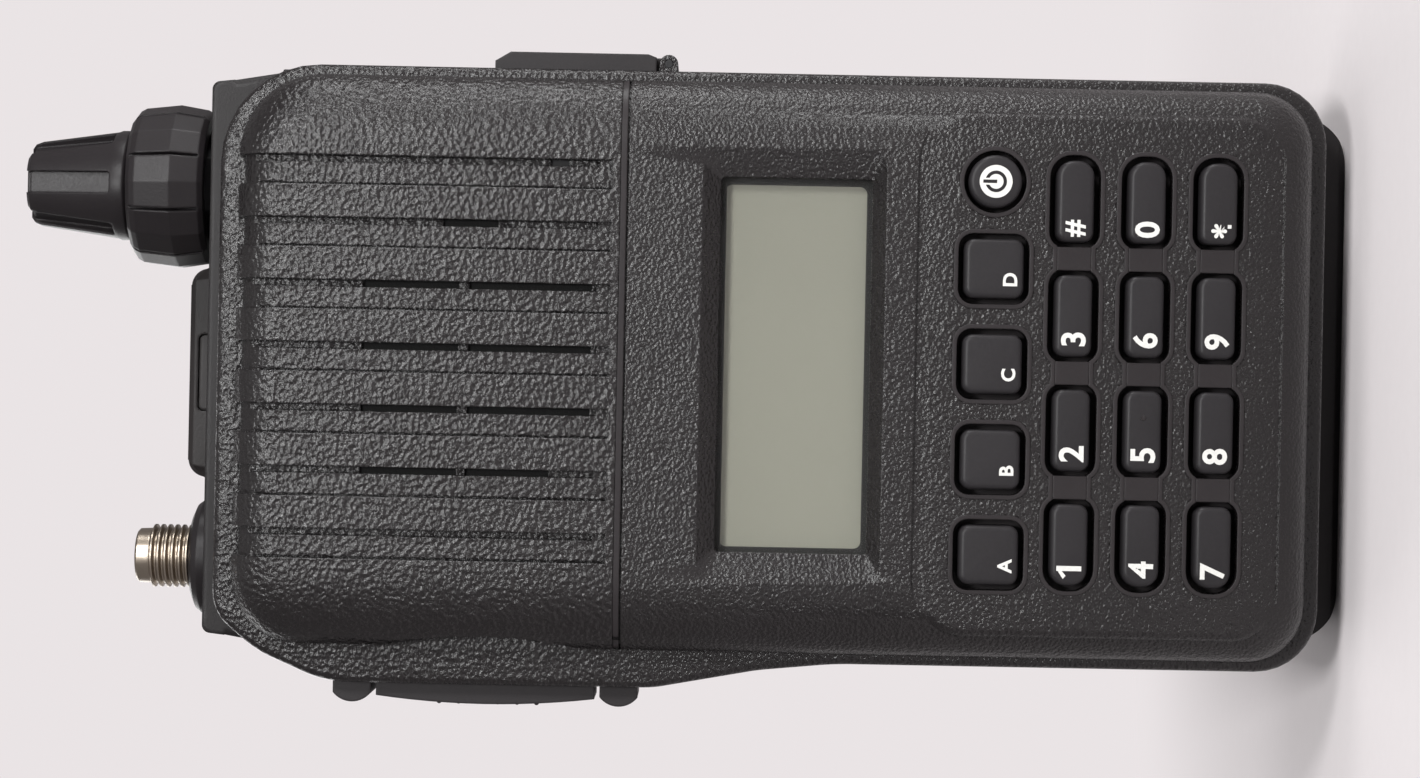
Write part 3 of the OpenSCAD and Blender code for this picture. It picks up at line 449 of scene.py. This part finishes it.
# The flange runs round the raised body and widens into the grip, where the body has a shallow scoop
# for the thumb. Its corner by the antenna is cut off at a slant.
scoop_radius, scoop_middle, scoop_deep, scoop_long = 43, 84.2, 1.15, 7.4
front_shell = carve(front_shell, rod("y", (raised_left - scoop_radius + scoop_deep, face + 2, scoop_middle),
                                     scoop_long, scoop_radius, 192))
case_back = face + 16
grip, grip_low, grip_high, grip_corner = face_low.x / MM, 67.6, 99.2, 10
flange_round, slant_inner, slant_outer = 0.7, 24.6, 28.2
flange_corners = [(-half_width, case_low, 6), (half_width, case_low, 6), (half_width, case_high, 9.5),
                  (-slant_inner, case_high, 4), (-slant_outer, case_high - 4.3, 10),
                  (grip, grip_high, grip_corner), (grip, grip_low, grip_corner), (grip + 1.9, 57.5, 20),
                  (-half_width - 0.05, 50, 30)]
flange_piece = slab(flange_corners, flange, case_back, flange_round, 8, 4)
front_shell = carve(front_shell, flange_piece, "UNION")

# Behind, the case is hollow: a room under the raised body, a wider one in the flange and one along the
# grip. Above the step it is cut away, because the chassis caps the case there.
room = 23.8
step, cap_front = 103, face + 10
front_shell = carve(front_shell, slab(box_corners(-room, room, raised_low + wall + 1.2,
                                                  raised_high - wall - 2.2, 3, 3),
                                      inner, flange + wall + 0.01))
front_shell = carve(front_shell, slab(box_corners(wall - half_width, half_width - wall, case_low + wall,
                                                  case_high - wall, 3, 4), flange + wall, case_back + past))
side_wall_in = grip + wall
front_shell = carve(front_shell, block((side_wall_in, flange + 1.5, 66),
                                       (wall + 1 - half_width, case_back + past, 100)))
front_shell = carve(front_shell, block((-across_all, cap_front, step), (across_all, 30, 130)))

# Along one side of each channel runs a narrow groove, which opens in places into slots over the
# loudspeaker, and along the other side a fine crease. Slots in one channel are 1 mm apart.
groove_width, groove_depth = 0.66, 1.5
crease_width, crease_depth = 0.16, 0.55
lower_slot, upper_slot = (74, 85.6), (86.6, 95.7)
slot_runs = {0: [(76.4, 78.1)], 1: [(83, 88.2)], 2: [lower_slot, upper_slot], 3: [lower_slot, upper_slot],
             4: [lower_slot, upper_slot], 5: [(77.8, 85.7), upper_slot]}
grooves = []
for right in channel_rights:
    grooves.append(block((right - groove_width, face - past, channel_foot + 1.2),
                         (right, face + groove_depth, raised_high + past)))
    left = right - channel_width
    grooves.append(block((left - 0.02, face - past, channel_foot + 0.1),
                         (left + crease_width, face + channel_depth + crease_depth, raised_high + past)))
front_shell = carve(front_shell, join(grooves))
slots = []
for index, runs in slot_runs.items():
    right = channel_rights[index]
    for low, high in runs:
        slots.append(block((right - groove_width, face - past, low), (right, inner + past, high)))
front_shell = carve(front_shell, join(slots))

# Under the grille a smooth strip crosses the body and goes down its sides, sunk in a shallow hoop with
# a thin dark line along its lower edge.
cross_low, cross_high, cross_line = 70.65, 71.45, 0.18
hoop_depth, strip_sunk = 0.4, 0.12


def hoop(outer, inner_depth, low, high):
    """A band round the raised body between two depths under its skin."""
    band = carve(raised_body(outer), raised_body(inner_depth))
    return carve(band, block((-across_all, face - past, low), (across_all, channel_back, high)), "INTERSECT")


front_shell = carve(front_shell, hoop(0, hoop_depth, cross_low, cross_high))
strip = hoop(strip_sunk, hoop_depth, cross_low + cross_line, cross_high)

# The display's window is a hole at the bottom of a sloping bezel, with a ledge behind it that the lens
# is glued to. The bezel's floor is a hair wider than the window, so that the two cuts share no edge.
lens_low, lens_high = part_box("display_lens")
window_x = (lens_low.x + lens_high.x) / 2 / MM
window_z = (lens_low.z + lens_high.z) / 2 / MM
window_half_x = (lens_high.x - lens_low.x) / 2 / MM - 1
window_half_z = (lens_high.z - lens_low.z) / 2 / MM - 1
ledge = lens_low.y / MM
lens_back = lens_high.y / MM
window_corner, ledge_width, frame_width = 0.4, 1, 2.4


def window(more, front, back):
    return slab(box_corners(window_x - window_half_x - more, window_x + window_half_x + more,
                            window_z - window_half_z - more, window_z + window_half_z + more,
                            window_corner, window_corner), front, back)


front_shell = carve(front_shell, window(frame_width, inner - 0.1, lens_back), "UNION")
bezel_corner, bezel_deep, bezel_z, bezel_ease = 1.7, 1.45, window_z + 0.25, 0.03
bezel_half_x, bezel_half_z = window_half_x + 2.65, window_half_z + 1.5
bezel = slab(box_corners(window_x - bezel_half_x, window_x + bezel_half_x, bezel_z - bezel_half_z,
                         bezel_z + bezel_half_z, bezel_corner, bezel_corner), face - 0.01, face + bezel_deep)
floor_half_x, floor_half_z = window_half_x + bezel_ease, window_half_z + bezel_ease
for point in bezel.data.vertices:
    if point.co.y > (face + bezel_deep / 2) * MM:
        x, z = point.co.x / MM - window_x, point.co.z / MM - bezel_z
        corner_x = math.copysign(bezel_half_x - bezel_corner, x)
        corner_z = math.copysign(bezel_half_z - bezel_corner, z)
        shrink = window_corner / bezel_corner
        floor_x = math.copysign(floor_half_x - window_corner, x)
        floor_z = math.copysign(floor_half_z - window_corner, z)
        point.co.x = (window_x + floor_x + (x - corner_x) * shrink) * MM
        point.co.z = (window_z + floor_z + (z - corner_z) * shrink) * MM
front_shell = carve(front_shell, bezel)
front_shell = carve(front_shell, window(0, face - past, inner + 3))
front_shell = carve(front_shell, window(ledge_width, ledge, lens_back + past))

# The keypad lies on a flat pad, sunk in the face but raised over its rounded sides. Each row of number
# keys shares one opening: the wells of its keys and the bridges between them. The rims round the
# openings are left smooth.
key_gap = 0.45
plateau, pad_low, pad_high = face + 0.3, 8.7, 43.3
pad_corners = box_corners(3.3 - half_width, half_width - 3.8, pad_low, pad_high, 4, 5)
front_shell = carve(front_shell, slab(pad_corners, face - past, plateau + 0.01))
pad = slab(pad_corners, plateau, flange + overlap, 0.9, 8, 6)
pad = carve(pad, block((-across_all, inner - 0.05, 0), (across_all, flange + past, 50)))
front_shell = carve(front_shell, pad, "UNION")


def key_outline(low, high, left, right, more=0.0):
    return [(low.x - more, low.y - more, left + more), (high.x + more, low.y - more, right + more),
            (high.x + more, high.y + more, right + more), (low.x - more, high.y + more, left + more)]


key_rows = [["key_1", "key_2", "key_3", "key_hash"], ["key_4", "key_5", "key_6", "key_0"],
            ["key_7", "key_8", "key_9", "key_star"]]
function_keys = ["key_a", "key_b", "key_c", "key_d"]
key_flange, key_ease = 0.5, 0.1
caps = {}
for node in sum(key_rows, function_keys):
    low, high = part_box(node)
    caps[node] = (Vector((low.x, low.z)) / MM + Vector((key_flange, key_flange)),
                  Vector((high.x, high.z)) / MM - Vector((key_flange, key_flange)))
corner, outer_corner = 1.05, 1.6
left_end_keys, right_end_keys = [row[0] for row in key_rows], [row[-1] for row in key_rows]


def corners_of(node):
    return (outer_corner if node in left_end_keys else corner,
            outer_corner if node in right_end_keys else corner)


def cap_outline(node, more=0.0):
    return key_outline(*caps[node], *corners_of(node), more)


bridge_half = 1.6
power_low, power_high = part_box("power_key")
power_middle = ((power_low.x + power_high.x) / 2 / MM, (power_low.z + power_high.z) / 2 / MM)
power_radius = 2.5


def wells(more, front, back):
    made = [slab(cap_outline(node, key_gap - key_ease + more), front, back) for node in function_keys]
    made.append(rod("y", (power_middle[0], (front + back) / 2, power_middle[1]), back - front,
                    power_radius + key_gap + more, 64))
    for row in key_rows:
        opening = None
        for node in row:
            well = slab(cap_outline(node, key_gap + more), front, back)
            opening = carve(opening, well, "UNION") if opening else well
        middle = (caps[row[0]][0].y + caps[row[0]][1].y) / 2
        for left, right in zip(row, row[1:]):
            bridge = block((caps[left][1].x - 0.2, front, middle - bridge_half - more),
                           (caps[right][0].x + 0.2, back, middle + bridge_half + more))
            opening = carve(opening, bridge, "UNION")
        made.append(opening)
    return join(made)


rim_width, rim_height = 0.42, 0.17
front_shell = carve(front_shell, wells(0, face - past, inner + past))
rims = wells(rim_width, plateau - rim_height, plateau + 0.3)
rims = carve(rims, wells(0, face - past, inner + past))

# In the grip a long opening holds the side keys, and at the other side a recess takes the jack cover,
# with two holes for the plugs and a pair of hinge knuckles.
keys_low, keys_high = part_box("talk_bar")
keys_foot, keys_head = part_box("lower_side_key")[0].z / MM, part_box("upper_side_key")[1].z / MM
front_shell = carve(front_shell, block((grip - past, keys_low.y / MM + 0.4, keys_foot - 0.65),
                                       (side_wall_in + 0.1, keys_high.y / MM - 0.4, keys_head + 0.35)))
cover_low, cover_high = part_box("jack_cover")
cover_back = cover_low.x / MM - 0.3
cover_front, cover_rear = cover_low.y / MM, cover_high.y / MM
recess_foot, recess_side, knuckle_thick = 68.1, half_width + 4, 1.1
front_shell = carve(front_shell, block((cover_back, cover_front - 0.3, recess_foot),
                                       (recess_side, cover_rear + 0.3, cover_high.z / MM + 0.4)))
front_shell = carve(front_shell, block((cover_back, cover_front + 1.2, 65.8),
                                       (recess_side, cover_rear - 1.2, recess_foot + 0.1)))
jack_y = (cover_front + cover_rear) / 2 - 0.1
for jack_z, bore in ((72.4, 1.88), (79.6, 2.38)):
    front_shell = carve(front_shell, rod("x", (half_width, jack_y, jack_z), 8, bore, 40))
pin_low, pin_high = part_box("jack_pin")
hinge_x, hinge_z = (pin_low.x + pin_high.x) / 2 / MM, (pin_low.z + pin_high.z) / 2 / MM
knuckle_radius, pin_bore = 0.9, 0.43
for start in (cover_front + 0.1, cover_rear - 1.2):
    middle = (hinge_x, start + knuckle_thick / 2, hinge_z)
    knuckle = rod("y", middle, knuckle_thick, knuckle_radius, 32)
    root = block((cover_back - 0.1, start, hinge_z - knuckle_radius),
                 (hinge_x, start + knuckle_thick, hinge_z + knuckle_radius))
    knuckle = carve(knuckle, root, "UNION")
    knuckle = carve(knuckle, rod("y", middle, 3, pin_bore, 24))
    front_shell = carve(front_shell, knuckle, "UNION")
finished(front_shell, "front_shell", case_plastic, "radio", "front_case")
smooth_plastic = moulded("smooth_plastic", (0.024, 0.021, 0.022), grain=0.2 * MM, depth=0.008 * MM,
                         roughness=0.4)
finished(rims, "well_rims", smooth_plastic, "radio")
finished(strip, "cross_strip", smooth_plastic, "radio")


# The keypad's mat is one sheet of soft rubber under all the keys. Its bridges show between the number
# keys, just under the face.
mat_rubber = moulded("mat_rubber", (0.022, 0.019, 0.020), grain=0.25 * MM, depth=0.01 * MM, roughness=0.45)
wear("keypad_mat", mat_rubber)


# The keys are hard caps with softly rounded tops, moulded in black and printed in white. A number
# stands at the end of its key, and a letter low down on a function key. A small mark on the 5 is
# there to be felt.
key_plastic = moulded("key_plastic", (0.020, 0.0185, 0.020), grain=0.3 * MM, depth=0.006 * MM, roughness=0.42)
print_finish = Finish("key_print", (0.80, 0.80, 0.77), Roughness=0.55)
print_speck = print_finish.noise(0.2 * MM)
print_finish.paint(Base_Color=print_finish.blend(print_speck, (0.60, 0.60, 0.57), (0.74, 0.74, 0.71)))
key_print = print_finish.material
print_thick = 0.02
cap_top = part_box("key_1")[0].y / MM + print_thick
cap_foot = inner + 0.35


def printed(text, middle_x, middle_z, height, heavy):
    """One printed character on the face: a text object made a mesh, stood up and put in its place, in mm."""
    bpy.ops.object.select_all(action="DESELECT")
    bpy.ops.object.text_add(location=(0, 0, 0))
    piece = bpy.context.active_object
    piece.data.body = text
    piece.data.align_x, piece.data.align_y = "CENTER", "CENTER"
    piece.data.extrude = print_thick / 2
    piece.data.offset = heavy
    piece.data.resolution_u = 4
    bpy.ops.object.convert(target="MESH")
    low = Vector([min(point.co[axis] for point in piece.data.vertices) for axis in range(3)])
    high = Vector([max(point.co[axis] for point in piece.data.vertices) for axis in range(3)])
    size = height / (high.y - low.y)
    middle = (low + high) / 2
    for point in piece.data.vertices:
        flat = (point.co - middle) * size
        point.co = Vector((middle_x + flat.x, cap_top - point.co.z, middle_z + flat.y)) * MM
    in_edit(piece)
    bpy.ops.mesh.select_all(action="SELECT")
    bpy.ops.mesh.remove_doubles(threshold=0.0000001)
    bpy.ops.mesh.normals_make_consistent(inside=False)
    bpy.ops.object.mode_set(mode="OBJECT")
    return piece


number_print, number_inset, number_heavy = 2.35, 1.75, 0.025
letter_print, letter_heavy, letter_left, letter_down = 1.35, 0.03, 1.0, 1.5
cap_round, pip_radius = 0.5, 0.28
signs = {"key_hash": "#", "key_star": "*"}
for node in sum(key_rows, function_keys):
    ease = key_ease if node in function_keys else 0.0
    low, high = caps[node]
    cap = slab(key_outline(low + Vector((ease, key_ease)), high - Vector((ease, key_ease)),
                           *corners_of(node), -0.1), cap_top, cap_foot, cap_round, 6, 5)
    finished(cap, "cap_" + node, key_plastic, node, node)
    low, high = caps[node]
    middle = (low + high) / 2
    if node in function_keys:
        text = node[-1].upper()
        sign = printed(text, middle.x - letter_left, middle.y - letter_down, letter_print, letter_heavy)
    else:
        edge_shift = 0.35 if node in right_end_keys else 0.0
        text = signs.get(node, node[-1])
        high_print = {"#": 1.9, "*": 1.5}.get(text, number_print)
        sign = printed(text, low.x + number_inset - edge_shift, middle.y, high_print, number_heavy)
    if text == "1":
        low_x, top_z = sign.data.vertices[0].co.x / MM, middle.y + high_print / 2
        flag = slab([(low_x - 0.75, top_z - 0.62, 0), (low_x - 0.45, top_z - 0.88, 0),
                     (low_x + 0.25, top_z - 0.3, 0), (low_x + 0.2, top_z, 0)],
                    cap_top - print_thick / 2, cap_top + print_thick / 2)
        sign = carve(sign, flag, "UNION")
    if text == "*":
        sign = join([sign, block((low.x + number_inset - 0.1, cap_top - print_thick / 2, middle.y - 1.15),
                                 (low.x + number_inset + 0.25, cap_top + print_thick / 2, middle.y - 0.8))])
    finished(sign, "print_" + node, key_print, node)
    if text == "5":
        pip = rod("y", (middle.x + 1.3, cap_top, middle.y), 0.03, pip_radius, 24)
        finished(pip, "pip_5", smooth_plastic, node)


# The power key is a round cap of the same plastic. It carries a white disc with the power sign on it:
# a ring that is open at the top, and a bar in the opening.
power_x, power_z = power_middle
power_cap = rod("y", (power_x, (cap_top + cap_foot) / 2, power_z), cap_foot - cap_top, power_radius, 64)
in_edit(power_cap)
choose_edges(power_cap, lambda end: end.y < (cap_top + 0.01) * MM)
bpy.ops.mesh.bevel(offset=0.45 * MM, offset_type="OFFSET", segments=4)
bpy.ops.object.mode_set(mode="OBJECT")
finished(power_cap, "power_cap", key_plastic, "power_key", "power_key")
disc_radius, sign_radius, sign_line, sign_proud, sign_gap = 1.55, 1.02, 0.16, 0.006, 0.32
disc = rod("y", (power_x, cap_top, power_z), print_thick, disc_radius, 64)
finished(disc, "power_disc", key_print, "power_key")
sign_ring = rod("y", (power_x, cap_top - sign_proud, power_z), print_thick, sign_radius, 48)
sign_ring = carve(sign_ring, rod("y", (power_x, cap_top, power_z), 1, sign_radius - 2 * sign_line, 48))
sign_ring = carve(sign_ring, block((power_x - sign_gap, cap_top - past, power_z),
                                   (power_x + sign_gap, cap_top + past, power_z + 2)))
sign_bar = block((power_x - sign_line, cap_top - sign_proud - print_thick / 2, power_z - 0.1),
                 (power_x + sign_line, cap_top + print_thick / 2, power_z + 1.2))
finished(join([sign_ring, sign_bar]), "power_sign", key_plastic, "power_key")


# The display is a grey-green glass in a black holder. A clear lens is glued into the window before it.
# A thin black band behind the lens, just inside the window's edge, is painted shadow of the window's inner
# wall.
display = Finish("display_glass", (0.34, 0.37, 0.30), Roughness=0.32)
# Painted shade: the display glass is mixed from a lighter grey-green at the keypad end to a darker one at the
# antenna end, with random specks on top.
across = display.node("ShaderNodeSeparateXYZ", {}, {0: display.place}, 2)
painted_shade_ramp = display.node("ShaderNodeMapRange", {}, {"Value": across, "From Min": (window_z - window_half_z) * MM,
                                               "From Max": (window_z + window_half_z) * MM})
dust = display.noise(0.25 * MM, 2.0, 0.7)
display.paint(Base_Color=display.blend(painted_shade_ramp * 0.7 + dust * 0.3, (0.273, 0.276, 0.222), (0.230, 0.233, 0.185)),
              Roughness=dust * 0.1 + 0.25)
display.bump(dust, 0.01 * MM)
wear("lcd_panel", display.material)
wear("lcd_holder", moulded("frame_plastic", (0.01, 0.01, 0.01), depth=0.006 * MM, roughness=0.5))
# Painted shadow: a black band, 0.4 to 0.6 mm wide, shows through the lens along the inside of the window's
# edge.
border_front, border_back = lens_back + 0.02, lens_back + 0.08
border_more, border_in = 0.9, 0.45
border = slab(box_corners(window_x - window_half_x - border_more, window_x + window_half_x + border_more,
                          window_z - window_half_z - border_more, window_z + window_half_z + border_more,
                          0.5, 0.5), border_front, border_back)
border = carve(border, slab(box_corners(window_x - window_half_x + border_in, window_x + window_half_x - 0.6,
                                        window_z - window_half_z + border_in, window_z + window_half_z - 0.4,
                                        0.7, 0.7), border_front - past, border_back + past))
painted_wall_shadow = moulded("painted_wall_shadow", (0.006, 0.006, 0.006), depth=0.003 * MM, roughness=0.4)
finished(border, "painted_shadow_band", painted_wall_shadow, "radio")
lens = Finish("lens_plastic", (0.2, 0.2, 0.19), Alpha=0.08)
lens_haze = lens.noise(3 * MM, 3.0)
lens.paint(Roughness=lens_haze * 0.06 + 0.06)
wear("display_lens", lens.material)


# The chassis is a casting in smooth dark grey paint, and caps the top end of the radio. It is closed up
# at its two top corners, which are rounded off. A rubber seal lies between it and the case.
def copied(piece, name):
    """A copy with its own mesh."""
    copy = piece.copy()
    copy.data = piece.data.copy()
    copy.name = name
    bpy.context.scene.collection.objects.link(copy)
    return copy


def merged_copy(node):
    """A copy of a CAD node with its loose triangles joined up."""
    copy = copied(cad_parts[node], node + "_copy")
    copy.parent = None
    in_edit(copy)
    bpy.ops.mesh.select_all(action="SELECT")
    bpy.ops.mesh.remove_doubles(threshold=0.0000005)
    bpy.ops.mesh.normals_make_consistent(inside=False)
    bpy.ops.object.mode_set(mode="OBJECT")
    return copy


chassis_low, chassis_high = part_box("rear_chassis")
roof, chassis_side = chassis_high.z / MM, chassis_high.x / MM
chassis = merged_copy("rear_chassis")
crown_low, crown_front, crown_back = roof - 2.2, chassis_low.y / MM, chassis_high.y / MM - 2.5
for side in (-1, 1):
    crown = [(side * (chassis_side - 3.4), crown_low, 0), (side * (chassis_side - 1.1), crown_low, 0),
             (side * (chassis_side - 1.35), roof, 0.8), (side * (chassis_side - 3.4), roof, 0)]
    chassis = carve(chassis, slab(crown if side > 0 else crown[::-1], crown_front, crown_back), "UNION")
chassis_paint = moulded("chassis_paint", (0.013, 0.0115, 0.012), grain=0.18 * MM, depth=0.012 * MM,
                        roughness=0.38, edge=0.6 * MM)
finished(chassis, "chassis", chassis_paint, "radio", "rear_chassis")
wear("main_seal", moulded("seal_rubber", (0.01, 0.01, 0.01), depth=0.01 * MM, roughness=0.7))


# The knobs are moulded in satin black and share one shaft. The tuning dial is a tapering cone with six
# flutes, each with a notch at the tip.
knob_plastic = moulded("knob_plastic", (0.014, 0.012, 0.013), grain=0.25 * MM, depth=0.01 * MM, roughness=0.4,
                       edge=0.3 * MM)
dial_low, dial_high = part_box("dial_knob")
ring_low, ring_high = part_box("volume_ring")
knob_x, knob_y = (dial_low.x + dial_high.x) / 2 / MM, (dial_low.y + dial_high.y) / 2 / MM
dial_radius, dial_foot, dial_top = (dial_high.x - dial_low.x) / 2 / MM, dial_low.z / MM, dial_high.z / MM
ring_radius, ring_foot, ring_top = (ring_high.y - ring_low.y) / 2 / MM, ring_low.z / MM, ring_high.z / MM


def turned(profile, steps):
    """A knob turned from a closed profile of (radius, height) in mm, with a corner at its front."""
    bpy.ops.object.select_all(action="DESELECT")
    bpy.ops.mesh.primitive_circle_add(vertices=len(profile), fill_type="NOTHING")
    piece = bpy.context.active_object
    for point, (radius, height) in zip(piece.data.vertices, profile):
        point.co = Vector((knob_x, knob_y - radius, height)) * MM
    in_edit(piece)
    bpy.ops.mesh.select_all(action="SELECT")
    bpy.ops.mesh.spin(steps=steps, angle=2 * math.pi, center=Vector((knob_x, knob_y, 0)) * MM, axis=(0, 0, 1))
    bpy.ops.mesh.select_all(action="SELECT")
    bpy.ops.mesh.remove_doubles(threshold=0.000001)
    bpy.ops.mesh.normals_make_consistent(inside=False)
    bpy.ops.object.mode_set(mode="OBJECT")
    return piece


def round_the_knob(tool, turn):
    """A copy of a tool, turned about the knob's axis."""
    middle = Vector((knob_x, knob_y, 0)) * MM
    copy = copied(tool, "tool")
    copy.data.transform(Matrix.Translation(middle) @ Matrix.Rotation(math.radians(turn), 4, "Z")
                        @ Matrix.Translation(-middle))
    return copy


dial_bore = 2.05
dial = turned([(dial_bore, dial_foot), (dial_radius - 0.2, dial_foot), (dial_radius, dial_foot + 0.25),
               (dial_radius, dial_foot + 1.1), (dial_radius - 0.15, dial_foot + 1.5),
               (dial_radius - 1.25, dial_top - 1.1), (dial_radius - 1.5, dial_top - 0.45),
               (dial_radius - 2.0, dial_top - 0.08), (dial_radius - 2.6, dial_top),
               (dial_bore, dial_top), (dial_bore, dial_top - 2)], 96)
flute_half, flute_deep, flute_slope, flute_foot = 1.05, 1.4, 0.115, dial_foot + 1.55
flute = slab([(knob_x - flute_half, flute_foot, 0.3), (knob_x + flute_half, flute_foot, 0.3),
              (knob_x + flute_half, dial_top + past, 0), (knob_x - flute_half, dial_top + past, 0)],
             knob_y - dial_radius - 2, knob_y - dial_radius + flute_deep, 0, 4)
for point in flute.data.vertices:
    if point.co.y > (knob_y - dial_radius) * MM:
        point.co.y += (point.co.z - flute_foot * MM) * flute_slope - 0.3 * MM
notch_half, notch_deep = flute_half + 0.02, 0.47
tip_notch = block((knob_x - notch_half, knob_y - dial_radius - 2.1, dial_top - notch_deep),
                  (knob_x + notch_half, knob_y - 2.5, dial_top + 1.1))
for turn in range(0, 360, 60):
    dial = carve(dial, round_the_knob(flute, turn))
    dial = carve(dial, round_the_knob(tip_notch, turn))
bpy.data.objects.remove(tip_notch)
bpy.data.objects.remove(flute)
dial = carve(dial, rod("z", (knob_x, knob_y, dial_top - 0.6), 0.8, dial_bore + 0.1, 64), "UNION")
finished(dial, "dial_turned", knob_plastic, "dial", "dial_knob", angle=28)

# The volume ring sits under the dial and is hollow over the nut below it. It has eighteen flats, with a
# groove down every other edge between them.
ring_bore, skirt_bore, skirt_deep = 3.1, 6.1, 2.6
ring = turned([(ring_bore, ring_foot + skirt_deep), (skirt_bore, ring_foot + skirt_deep),
               (skirt_bore, ring_foot), (ring_radius - 0.9, ring_foot), (ring_radius - 0.45, ring_foot + 0.5),
               (ring_radius, ring_foot + 3.2), (ring_radius - 0.4, ring_top - 1.0),
               (ring_radius - 0.7, ring_top - 0.45), (ring_radius - 1.3, ring_top),
               (ring_bore, ring_top)], 18)
groove_half = 0.16
groove = block((knob_x - groove_half, knob_y - ring_radius - past, ring_foot + 0.5),
               (knob_x + groove_half, knob_y - ring_radius + 0.95, ring_top - 0.2))
for turn in range(-20, 340, 40):
    ring = carve(ring, round_the_knob(groove, turn))
bpy.data.objects.remove(groove)
finished(ring, "volume_ring_turned", knob_plastic, "volume", "volume_ring", angle=12)


# The antenna socket is turned in brass and nickel-plated, with a white liner round a gilt contact. It
# stands in a black moulded boss.
wear("antenna_connector", metal("nickel_plate", (0.36, 0.31, 0.255), roughness=0.34))
wear("antenna_insulator", moulded("socket_liner", (0.75, 0.75, 0.72), depth=0.004 * MM, roughness=0.35))
wear("antenna_contact", metal("gilt", (0.80, 0.60, 0.28), roughness=0.25))
wear("antenna_boss", knob_plastic)


# The talk bar and the two side keys are soft black rubber, with a fine dull grain. The jack cover on the
# other side is moulded in the same rubber.
side_rubber = moulded("side_rubber", (0.022, 0.020, 0.021), grain=0.25 * MM, depth=0.012 * MM, roughness=0.5,
                      edge=0.3 * MM)
for node in ("talk_bar", "upper_side_key", "lower_side_key", "jack_cover"):
    wear(node, side_rubber)


# The battery pack is a case of black plastic with a lid welded on. It has a little more grain than the
# latch that holds it.
pack_plastic = moulded("pack_plastic", (0.018, 0.016, 0.0165), grain=0.3 * MM, depth=0.03 * MM,
                       roughness=0.48, edge=0.3 * MM)
for node in ("battery_case", "battery_cover"):
    wear(node, pack_plastic)


# The belt clip is a long lever of smooth black plastic on a sprung pin. Its thumb tab, which shows over
# the top of the radio, has rounded corners and a fine line round it. The latch is the same plastic.
clip_plastic = moulded("clip_plastic", (0.020, 0.0175, 0.0175), grain=0.3 * MM, depth=0.015 * MM,
                       roughness=0.42, edge=0.4 * MM)
wear("battery_latch", clip_plastic)
arm_low, arm_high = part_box("clip_arm")
arm_left, arm_right, arm_top = arm_low.x / MM, arm_high.x / MM, arm_high.z / MM
arm_front, arm_back, tab_corner = arm_high.y / MM - 1.8, arm_high.y / MM, 1.9
arm_middle = (arm_left + arm_right) / 2
arm = merged_copy("clip_arm")
for side in (-1, 1):
    edge_x = arm_middle + side * (arm_right - arm_left) / 2
    tip = [(edge_x - side * 3, arm_top - 4, 0), (edge_x, arm_top - 4, 0), (edge_x, arm_top, tab_corner),
           (edge_x - side * 3, arm_top, 0)]
    arm = carve(arm, slab(tip if side > 0 else tip[::-1], arm_front, arm_back - 1, 0.3, 8, 3), "UNION")
line_half, line_inset, line_deep = 4.1, 1.0, 0.15
tab_line = slab(box_corners(arm_middle - line_half, arm_middle + line_half, 108, arm_top - line_inset,
                            0, 0.6), arm_front - past, arm_front + line_deep)
line_middle = slab(box_corners(arm_middle - 3.95, arm_middle + 3.95, 107, arm_top - 1.15, 0, 0.5),
                   arm_front - 2, arm_front + 1)
tab_line = carve(tab_line, line_middle)
arm = carve(arm, tab_line)
finished(arm, "belt_clip", clip_plastic, "clip", "clip_arm", angle=18)


# Screws, pins, springs, shafts and the shield over the main board are plain steel, a little dulled. The
# latch's spring is wound to be pressed together as the latch is drawn back.
bright_steel = metal("bright_steel", (0.34, 0.34, 0.35), roughness=0.42)
for node in ("clip_plate", "clip_pin", "clip_spring", "case_screws", "clip_screws",
             "dial_shaft", "volume_shaft", "shield_can"):
    wear(node, bright_steel)
coil = merged_copy("latch_spring")
finished(coil, "latch_coil", bright_steel, "radio", "latch_spring")
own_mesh(coil)


# The works: two green boards, the encoder and the loudspeaker in dull metal, dark mouldings for what is
# plugged or screwed in, gilt contacts, and cells in blue sleeves.
board = moulded("board_laminate", (0.03, 0.16, 0.07), grain=0.4 * MM, depth=0.01 * MM, roughness=0.4)
for node in ("logic_board", "main_board"):
    wear(node, board)
dull_metal = metal("dull_metal", (0.35, 0.35, 0.36), roughness=0.45)
for node in ("encoder", "speaker"):
    wear(node, dull_metal)
dark_moulding = moulded("dark_moulding", (0.02, 0.02, 0.021), roughness=0.5)
for node in ("side_key_frame", "accessory_jacks", "terminal_block", "jack_pin", "encoder_nut", "microphone"):
    wear(node, dark_moulding)
wear("battery_contacts", metal("contact_gilt", (0.80, 0.60, 0.28)))
wear("battery_cells", moulded("cell_sleeve", (0.05, 0.10, 0.25), depth=0.004 * MM, roughness=0.35))


# A thin black cloth is glued behind the slots, to keep dust out of the loudspeaker. It is a little
# narrower than the room behind the grille.
mesh_low, mesh_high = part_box("speaker_mesh")
cloth = slab(box_corners(-room, room - 6.2, mesh_low.z / MM, mesh_high.z / MM, 2, 2),
             mesh_low.y / MM + 0.02, mesh_high.y / MM)
mesh_cloth = moulded("mesh_cloth", (0.008, 0.008, 0.008), grain=0.4 * MM, depth=0.06 * MM, roughness=0.8)
finished(cloth, "grille_cloth", mesh_cloth, "radio", "speaker_mesh")
